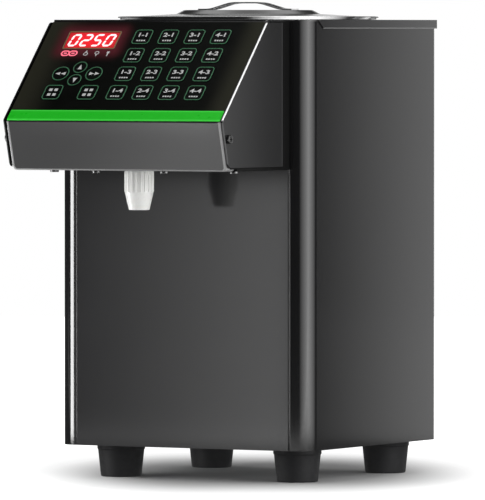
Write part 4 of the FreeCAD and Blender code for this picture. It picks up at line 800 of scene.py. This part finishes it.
def screws(name, places, node):
    points = start_points([(Vector(place) * MM, FACING[way]) for place, way in places])
    mesh = grown(SCREWS, points, {
        "Head Radius": 4.0 * MM, "Head Height": 2.6 * MM, "Recess Reach": 4.2 * MM, "Recess Width": 0.9 * MM,
        "Recess Depth": 1.3 * MM, "Shank Radius": 2.0 * MM, "Shank Length": 8.0 * MM, "Material": SCREW})
    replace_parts(piece(name, smooth(without_loose_points(mesh), 30.0), [SCREW], "root"), node)


screws("head_pan_screws", [
    ((113.0, -176.55, 312.0), "right"), ((-113.0, -176.55, 312.0), "left"),
    ((-93.0, -130.25, 283.2), "down"), ((-35.0, -154.25, 283.2), "down"),
    ((35.0, -154.25, 283.2), "down"), ((93.0, -130.25, 283.2), "down"),
], "head_screws")
screws("case_pan_screws", [
    *(((x, y, 22.4), "down") for x in (-92.1, 92.1) for y in (-11.95, 156.95)),
    *(((x, y, 34.6), "up") for x in (-25.0, 25.0) for y in (53.75, 81.75)),
    *(((x, 184.85, 413.25), "back") for x in (-85.0, 0.0, 85.0)),
], "case_screws")


# Feet, lid and handle

def feet():
    """Four moulded feet: a soft rim above, a slight taper, a rounded sole and a screw well."""
    outline = softened([
        (2.2, 30.4, 0.0), (2.2, 22.4, 0.0), (7.0, 22.4, 0.4), (7.0, 0.0, 0.6), (18.6, 0.0, 1.6),
        (21.2, 24.6, 0.8), (21.9, 25.6, 0.5), (21.9, 30.4, 0.6)])
    scaled = [(r * MM, z * MM) for r, z in outline]
    parts = [(spun(scaled, x * MM, y * MM, 64), 0) for x in (-92.1, 92.1) for y in (-11.95, 156.95)]
    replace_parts(piece("moulded_feet", smooth(joined(parts)), [RUBBER], "root"), "rubber_feet")


def lid():
    """The spun lid: a lip over a short neck, gentle rise, a step to the plateau and a finger dish."""
    corners = [
        (0.0, 412.0, 0.0), (0.0, 411.0, 0.0), (27.6, 411.0, 5.0), (35.6, 426.0, 1.6), (59.2, 426.0, 2.0),
        (65.8, 422.4, 3.0), (100.8, 420.2, 0.0), (100.8, 411.2, 0.3), (101.8, 411.2, 0.3),
        (101.8, 420.2, 0.2), (116.6, 420.2, 0.3), (116.6, 418.3, 0.2), (117.6, 418.3, 0.3),
        (117.6, 419.8, 0.2), (119.5, 419.8, 0.3), (119.5, 421.2, 0.6), (101.8, 421.25, 0.5),
        (66.2, 423.4, 2.0), (59.2, 427.0, 1.6), (36.4, 427.0, 2.4), (28.0, 412.0, 4.0)]
    outline = [(r * MM, z * MM) for r, z in softened(corners, 6)]
    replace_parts(piece("spun_lid", spun(outline, 0.0, TANK_Y, 160), [LID], "lid"), "lid_disc")


def arc_path(corners, steps):
    """A path through corners, each across, up and radius, with its turns rounded."""
    closed = softened([*corners, (corners[-1][0], corners[-1][1] - 60.0, 0.0),
                       (corners[0][0], corners[0][1] - 60.0, 0.0)], steps)
    return closed[:-2]


def swept(path, section, place):
    """Sweep a closed section along a path in the XZ plane; section is across (Y) and out."""
    shape = bmesh.new()
    rings = []
    for number, (x, z) in enumerate(path):
        before = path[max(number - 1, 0)]
        after = path[min(number + 1, len(path) - 1)]
        way = Vector((after[0] - before[0], after[1] - before[1])).normalized()
        rings.append([shape.verts.new((x - way.y * out, across, z + way.x * out)) for across, out in section])
    for ring, following in zip(rings, rings[1:]):
        for step in range(len(section)):
            ends = (step, (step + 1) % len(section))
            shape.faces.new((ring[ends[0]], ring[ends[1]], following[ends[1]], following[ends[0]]))
    shape.faces.new(rings[0])
    shape.faces.new(rings[-1])
    bmesh.ops.recalc_face_normals(shape, faces=shape.faces)
    mesh = from_bmesh(shape, "swept")
    mesh.transform(Matrix.Translation(place) @ Matrix.Scale(MM, 4))
    return mesh


def handle():
    """A steel strap: level top, two slanted legs and a welded tab at each end."""
    path = arc_path([(-49.0, 0.65, 0.0), (-37.0, 0.65, 34.0), (-15.0, 6.75, 42.0), (15.0, 6.75, 42.0),
                     (37.0, 0.65, 34.0), (49.0, 0.65, 0.0)], 8)
    section = softened([(-7.0, -0.65, 0.3), (7.0, -0.65, 0.3), (7.0, 0.65, 0.3), (-7.0, 0.65, 0.3)], 3)
    strap = swept(path, section, (0.0, TANK_Y, 427.0 * MM))
    made = piece("handle_strap", smooth(strap, 40.0), [STRAP], "lid")
    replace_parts(made, "lid_handle")


feet()
lid()
handle()


# Nozzle

def nozzle():
    """A stepped white spout with fine upright ribs round its upper half."""
    y = FRONT - 76.5 * MM
    corners = [
        (9.2, 283.0, 0.3), (12.8, 283.0, 0.7), (12.8, 263.0, 1.5), (9.2, 247.6, 0.5),
        (7.4, 247.6, 0.4), (7.4, 254.0, 1.5), (9.2, 262.0, 1.0)]
    outline = [(r * MM, z * MM) for r, z in softened(corners, 5)]
    body = spun(outline, 0.0, y, 96)
    ribs = grown(RIBS, bpy.data.meshes.new("start"), {
        "Count": 20, "Ring Radius": 12.7 * MM, "Rib Width": 0.75 * MM, "Rib Depth": 0.7 * MM,
        "Rib Length": 18.6 * MM, "Material": NOZZLE})
    ribs.transform(Matrix.Translation((0.0, y, 273.0 * MM)))
    mesh = smooth(joined([(body, 0), (ribs, 0)]), 50.0)
    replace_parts(piece("ribbed_nozzle", mesh, [NOZZLE], "root"), "nozzle_cap")


nozzle()


# Keypad prints

PRINT = 0.05 * MM


def bar(x, y, width, height):
    half_w, half_h = width / 2, height / 2
    corners = ((-1, -1), (1, -1), (1, 1), (-1, 1))
    outline = [(x + half_w * a, y + half_h * b) for a, b in corners]
    return plate([(a * MM, b * MM) for a, b in outline], 0.0, PRINT)


def arrow(x, y, size, way):
    """A small triangle that points along an angle."""
    points = []
    for turn in (0.0, 2.4, -2.4):
        points.append((x + size * math.cos(way + turn), y + size * math.sin(way + turn)))
    return plate([(a * MM, b * MM) for a, b in points], 0.0, PRINT)


def figures(text, size, weight, wide):
    """Plain figures as a flat raised print about their own middle."""
    letters = bpy.data.curves.new("figures", "FONT")
    letters.body = text
    letters.size = size * MM
    letters.offset = weight * MM
    letters.extrude = PRINT / 2
    letters.align_x = "CENTER"
    letters.align_y = "CENTER"
    carrier = bpy.data.objects.new("figures", letters)
    scene.collection.objects.link(carrier)
    mesh = bpy.data.meshes.new_from_object(carrier.evaluated_get(bpy.context.evaluated_depsgraph_get()))
    bpy.data.objects.remove(carrier)
    bpy.data.curves.remove(letters)
    mesh.transform(Matrix.Translation((0.0, 0.0, PRINT / 2)) @ Matrix.Diagonal((wide, 1.0, 1.0, 1.0)))
    return mesh


def outlined(width, height, corner, line, material):
    mesh = grown(OUTLINES, bpy.data.meshes.new("start"), {
        "Width": width * MM, "Height": height * MM, "Corner": corner * MM, "Line": line * MM,
        "Thickness": PRINT, "Material": material})
    mesh.transform(Matrix.Translation((0.0, 0.0, PRINT / 2)))
    return mesh


def moved(mesh, x, y):
    mesh.transform(Matrix.Translation((x * MM, y * MM, 0.0)))
    return mesh


def key_print(key, width, height, corner, marks):
    """The green outline and white marks of one key, which move with it."""
    low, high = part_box(key)
    middle = (low + high) / 2
    face = middle + Vector(slope_axes()[1]) * (1.125 * MM)
    parts = [(outlined(width, height, corner, 0.95, GREEN_INK), 0)] + [(mark, 1) for mark in marks]
    mesh = joined(parts)
    turn = slope_place()
    turn.translation = face
    mesh.transform(turn)
    piece("print_" + key, mesh, [GREEN_INK, WHITE_INK], "press_" + key)


def key_prints():
    for column in range(1, 5):
        for row in range(1, 5):
            marks = [moved(figures("%d-%d" % (column, row), 6.4, 0.18, 1.35), 0.0, 2.1)]
            marks += [bar(-3.6 + 2.4 * step, -4.6, 1.7, 1.5) for step in range(4)]
            key_print("key_%d_%d" % (column, row), 17.2, 16.6, 3.1, marks)
    for key in ("key_lower_left", "key_lower_right"):
        marks = [bar(x, y, 3.4, 3.0) for x in (-2.7, 2.7) for y in (-2.9, 2.9)]
        key_print(key, 17.2, 16.6, 3.1, marks)
    for key, way in (("key_up", math.pi / 2), ("key_down", -math.pi / 2)):
        key_print(key, 12.9, 12.9, 6.44, [arrow(0.0, 0.0, 3.3, way)])
    for key, way in (("key_left", math.pi), ("key_right", 0.0)):
        marks = [arrow(-2.6, 0.0, 2.8, way), arrow(2.9, 0.0, 2.8, way)]
        key_print(key, 15.9, 15.9, 7.94, marks)


key_prints()


# Display

LIT = {
    "0": "abcdef", "1": "bc", "2": "abged", "3": "abgcd", "4": "fgbc", "5": "afgcd", "6": "afgedc",
    "7": "abc", "8": "abcdefg", "9": "abcdfg",
}


def segment(x, y, length, stroke, upright):
    """One lit bar with pointed ends."""
    half, tip = length / 2, stroke / 2
    flat = [
        (-half, 0.0), (-half + tip, -tip), (half - tip, -tip),
        (half, 0.0), (half - tip, tip), (-half + tip, tip)]
    if upright:
        flat = [(-b, a) for a, b in flat]
    return [(x + a, y + b) for a, b in flat]


def digit(mark, x, width, height, stroke, lean):
    places = {
        "a": (0.0, height / 2, False), "g": (0.0, 0.0, False), "d": (0.0, -height / 2, False),
        "f": (-width / 2, height / 4, True), "b": (width / 2, height / 4, True),
        "e": (-width / 2, -height / 4, True), "c": (width / 2, -height / 4, True)}
    bars = []
    for name in LIT[mark]:
        px, py, upright = places[name]
        length = height / 2 - 0.3 if upright else width - 0.3
        outline = [(x + a + b * lean, b) for a, b in segment(px, py, length, stroke, upright)]
        bars.append(plate([(a * MM, b * MM) for a, b in outline], 0.0, PRINT))
    return bars


def display():
    face = slope_place(-59.9 * MM, 98.5 * MM, -0.7 * MM)
    parts = []
    for number, mark in enumerate("0250"):
        parts += [(bar_, 0) for bar_ in digit(mark, -18.0 + 12.0 * number, 7.2, 13.0, 2.2, 0.2)]
    mesh = joined(parts)
    mesh.transform(face)
    piece("lit_display_digits", mesh, [DIGIT], "root")

    rim = outlined(53.4, 20.6, 1.2, 1.3, OLIVE_INK)
    rim.transform(slope_place(-59.9 * MM, 98.5 * MM, -0.4 * MM))
    piece("display_frame_print", rim, [OLIVE_INK], "root")


def status_icons():
    """A lit double ring and three small marks under the display."""
    rings = [(moved(outlined(7.6, 5.4, 2.6, 1.5, LAMP_RED), side * 4.0, 0.0), 0) for side in (-1, 1)]
    rings += [(bar(side * 4.0, 0.0, 3.2, 1.6), 0) for side in (-1, 1)]
    mesh = joined(rings)
    mesh.transform(slope_place(-77.2 * MM, 82.2 * MM, -0.4 * MM))
    piece("lit_double_ring", mesh, [LAMP_RED], "root")
    marks = [
        (moved(outlined(3.8, 3.0, 1.4, 0.8, WHITE_INK), -59.9, 81.4), 0),
        (arrow(-59.9, 84.6, 1.5, math.pi / 2), 0),
        (moved(outlined(3.8, 3.0, 1.4, 0.8, WHITE_INK), -48.5, 82.8), 0),
        (arrow(-48.5, 79.8, 1.5, -math.pi / 2), 0),
        (bar(-37.1, 83.4, 2.6, 2.2), 0), (bar(-37.1, 80.6, 1.1, 3.4), 0)]
    mesh = joined(marks)
    mesh.transform(slope_place(0.0, 0.0, -0.4 * MM))
    piece("status_marks", mesh, [WHITE_INK], "root")


display()
status_icons()


# Floor, light and background

PICTURE_ACROSS = (0.873, 0.487, 0.0)
PICTURE_BEYOND = (-0.487, 0.873, 0.0)
BASE_MIDDLE = (0.0, 0.06, 0.0)
SHADE_ACROSS = 0.039
SHADE_BEYOND = 0.085
SHADE_HALF_WIDTH = 0.0455
SHADE_DEPTH_SHARE = 0.465
HEAD_GLOW_AHEAD = 0.677


def floor_white_with_painted_shade(tree, place):
    """How white the floor looks: a painted oval shade round the machine, full white further out."""
    across = sum_of(tree, "SUBTRACT", measured(tree, place, PICTURE_ACROSS), SHADE_ACROSS)
    beyond = sum_of(tree, "SUBTRACT", measured(tree, place, PICTURE_BEYOND), SHADE_BEYOND)
    past = sum_of(tree, "SUBTRACT", sum_of(tree, "ABSOLUTE", across, 0.0), SHADE_HALF_WIDTH)
    wide = sum_of(tree, "MAXIMUM", past, 0.0)
    deep = sum_of(tree, "MULTIPLY", beyond, SHADE_DEPTH_SHARE)
    square = sum_of(tree, "ADD", sum_of(tree, "MULTIPLY", wide, wide), sum_of(tree, "MULTIPLY", deep, deep))
    # painted shade: the glow fades out towards the machine
    near = graded(tree, sum_of(tree, "SQRT", square, 0.0), 0.061, 0.179, 0.0, 0.78)
    far = graded(tree, far_from(tree, place, BASE_MIDDLE), 0.36, 0.70, 0.0, 0.55)
    return sum_of(tree, "ADD", far, near)


def floor_painted_glow(tree, place):
    """How brightly the floor glows in reflections, though it is no lamp: painted light beside the machine and
    in a band under the head.
    """
    ahead = sum_of(tree, "ADD", measured(tree, place, (0.0, 1.0, 0.0)), HEAD_GLOW_AHEAD)
    band = graded(tree, sum_of(tree, "ABSOLUTE", ahead, 0.0), 0.06, 0.17, 1.0, 0.04)
    bright = graded(tree, measured(tree, place, (1.0, 0.0, 0.0)), -0.42, -0.23, 1.2, 2.3)
    close = graded(tree, far_from(tree, place, BASE_MIDDLE), 0.42, 0.60, 0.25, 0.0)
    return sum_of(tree, "MAXIMUM", close, sum_of(tree, "MULTIPLY", band, bright))


def studio_floor():
    """A white floor: its glow draws a painted oval shade round the machine over the real shadow in its matt
    coat, and it glows in reflections.
    """
    shape = bmesh.new()
    bmesh.ops.create_circle(shape, cap_ends=True, segments=64, radius=4.0)
    floor = bpy.data.objects.new("studio_floor", from_bmesh(shape, "studio_floor"))
    scene.collection.objects.link(floor)
    material = bpy.data.materials.new("white_studio_floor")
    material.use_nodes = True
    tree = material.node_tree
    tree.nodes.clear()
    coat = tree.nodes.new("ShaderNodeBsdfDiffuse")
    glow = tree.nodes.new("ShaderNodeEmission")
    ray = tree.nodes.new("ShaderNodeLightPath")
    direct = sum_of(tree, "MAXIMUM", ray.outputs["Is Camera Ray"], ray.outputs["Is Transmission Ray"])
    place = tree.nodes.new("ShaderNodeTexCoord").outputs["Object"]
    matt = sum_of(tree, "MULTIPLY", 0.35, sum_of(tree, "SUBTRACT", 1.0, ray.outputs["Is Glossy Ray"]))
    tree.links.new(matt, coat.inputs["Color"])
    eye = sum_of(tree, "MULTIPLY", direct, floor_white_with_painted_shade(tree, place))
    shine = sum_of(tree, "MULTIPLY", ray.outputs["Is Glossy Ray"], floor_painted_glow(tree, place))
    tree.links.new(sum_of(tree, "MAXIMUM", eye, shine), glow.inputs["Strength"])
    both = tree.nodes.new("ShaderNodeAddShader")
    tree.links.new(coat.outputs[0], both.inputs[0])
    tree.links.new(glow.outputs[0], both.inputs[1])
    tree.links.new(both.outputs[0], tree.nodes.new("ShaderNodeOutputMaterial").inputs["Surface"])
    floor.data.materials.append(material)


def measured(tree, place, way):
    """How far each place lies along a level direction."""
    length = tree.nodes.new("ShaderNodeVectorMath")
    length.operation = "DOT_PRODUCT"
    tree.links.new(place, length.inputs[0])
    length.inputs[1].default_value = way
    return length.outputs["Value"]


def far_from(tree, place, point):
    length = tree.nodes.new("ShaderNodeVectorMath")
    length.operation = "DISTANCE"
    tree.links.new(place, length.inputs[0])
    length.inputs[1].default_value = point
    return length.outputs["Value"]


def graded(tree, value, low, high, new_low, new_high, curve="SMOOTHSTEP"):
    made = tree.nodes.new("ShaderNodeMapRange")
    made.interpolation_type = curve
    for socket, number in zip(made.inputs, (value, low, high, new_low, new_high)):
        if isinstance(number, bpy.types.NodeSocket):
            tree.links.new(number, socket)
        else:
            socket.default_value = number
    return made.outputs[0]


def sum_of(tree, operation, one, other):
    made = tree.nodes.new("ShaderNodeMath")
    made.operation = operation
    for value, socket in ((one, made.inputs[0]), (other, made.inputs[1])):
        if isinstance(value, bpy.types.NodeSocket):
            tree.links.new(value, socket)
        else:
            socket.default_value = value
    return made.outputs[0]


def studio_world():
    """White behind the machine, a soft even fill, and a graded room in reflections."""
    world = bpy.data.worlds.new("studio")
    scene.world = world
    world.use_nodes = True
    tree = world.node_tree
    tree.nodes.clear()
    ray = tree.nodes.new("ShaderNodeLightPath")
    seen = sum_of(tree, "MAXIMUM", ray.outputs["Is Camera Ray"], ray.outputs["Is Transmission Ray"])
    place = tree.nodes.new("ShaderNodeTexCoord")
    dot = tree.nodes.new("ShaderNodeVectorMath")
    dot.operation = "DOT_PRODUCT"
    tree.links.new(place.outputs["Generated"], dot.inputs[0])
    dot.inputs[1].default_value = (-0.62, 0.78, 0.0)
    rise = tree.nodes.new("ShaderNodeSeparateXYZ")
    tree.links.new(place.outputs["Generated"], rise.inputs[0])
    behind = graded(tree, dot.outputs["Value"], 0.45, 0.9, 0.0, 1.0)
    low = sum_of(tree, "MULTIPLY", graded(tree, rise.outputs[2], 0.015, 0.045, 0.0, 1.0),
                 graded(tree, rise.outputs[2], 0.07, 0.22, 1.0, 0.0))
    room = sum_of(tree, "ADD", 0.025, sum_of(tree, "MULTIPLY", 0.975, sum_of(tree, "MULTIPLY", behind, low)))
    sky = sum_of(tree, "MULTIPLY", graded(tree, rise.outputs[2], 0.50, 0.60, 0.0, 0.35),
                 graded(tree, rise.outputs[2], 0.72, 0.84, 1.0, 0.0))
    room = sum_of(tree, "ADD", room, sky)
    fill = 0.50
    glossy = sum_of(tree, "MULTIPLY", ray.outputs["Is Glossy Ray"], sum_of(tree, "SUBTRACT", room, fill))
    level = sum_of(tree, "ADD", fill, glossy)
    rest = sum_of(tree, "MULTIPLY", seen, sum_of(tree, "SUBTRACT", 1.0, level))
    back = tree.nodes.new("ShaderNodeBackground")
    back.inputs["Color"].default_value = (1.0, 1.0, 1.0, 1.0)
    tree.links.new(sum_of(tree, "ADD", level, rest), back.inputs["Strength"])
    tree.links.new(back.outputs[0], tree.nodes.new("ShaderNodeOutputWorld").inputs["Surface"])


def softbox(name, place, target, width, height, levels):
    """A rectangular lamp; levels are the brightness of its face at its left and right edge."""
    lamp = bpy.data.lights.new(name, "AREA")
    lamp.shape = "RECTANGLE"
    lamp.size = width
    lamp.size_y = height
    lamp.energy = 4.0 * width * height
    lamp.use_nodes = True
    tree = lamp.node_tree
    share = tree.nodes.new("ShaderNodeSeparateXYZ")
    tree.links.new(tree.nodes.new("ShaderNodeNewGeometry").outputs["Parametric"], share.inputs[0])
    level = graded(tree, share.outputs[0], 0.0, 1.0, *levels, curve="LINEAR")
    tree.links.new(level, tree.nodes["Emission"].inputs["Strength"])
    holder = bpy.data.objects.new(name, lamp)
    holder.location = place
    holder.rotation_euler = (Vector(target) - Vector(place)).to_track_quat("-Z", "Y").to_euler()
    holder.visible_camera = False
    scene.collection.objects.link(holder)


studio_floor()
studio_world()
softbox("left_softbox", (-0.341, -0.264, 0.16), (-0.125, -0.055, 0.16), 0.088, 0.28, (15.0, 15.0))
softbox("right_front_softbox", (0.706, -0.460, 0.35), (0.12, -0.05, 0.35), 0.73, 0.74, (0.2, 4.0))
softbox("right_softbox", (0.809, 0.160, 0.35), (0.16, -0.129, 0.35), 0.712, 0.74, (4.0, 0.0))
softbox("rear_side_softbox", (0.375, 0.62, 0.25), (0.375, 0.0, 0.25), 0.27, 0.5, (0.0, 1.5))
softbox("end_plate_softbox", (0.56, 0.62, 0.30), (0.56, 0.0, 0.30), 0.12, 0.4, (0.86, 0.0))
softbox("panel_softbox", (-0.375, -0.72, 0.122), (-0.375, 0.0, 0.122), 0.27, 0.28, (0.05, 1.65))
softbox("top_softbox", (0.075, -0.15, 1.5), (0.075, -0.13, 0.37), 1.35, 0.7, (1.1, 1.1))
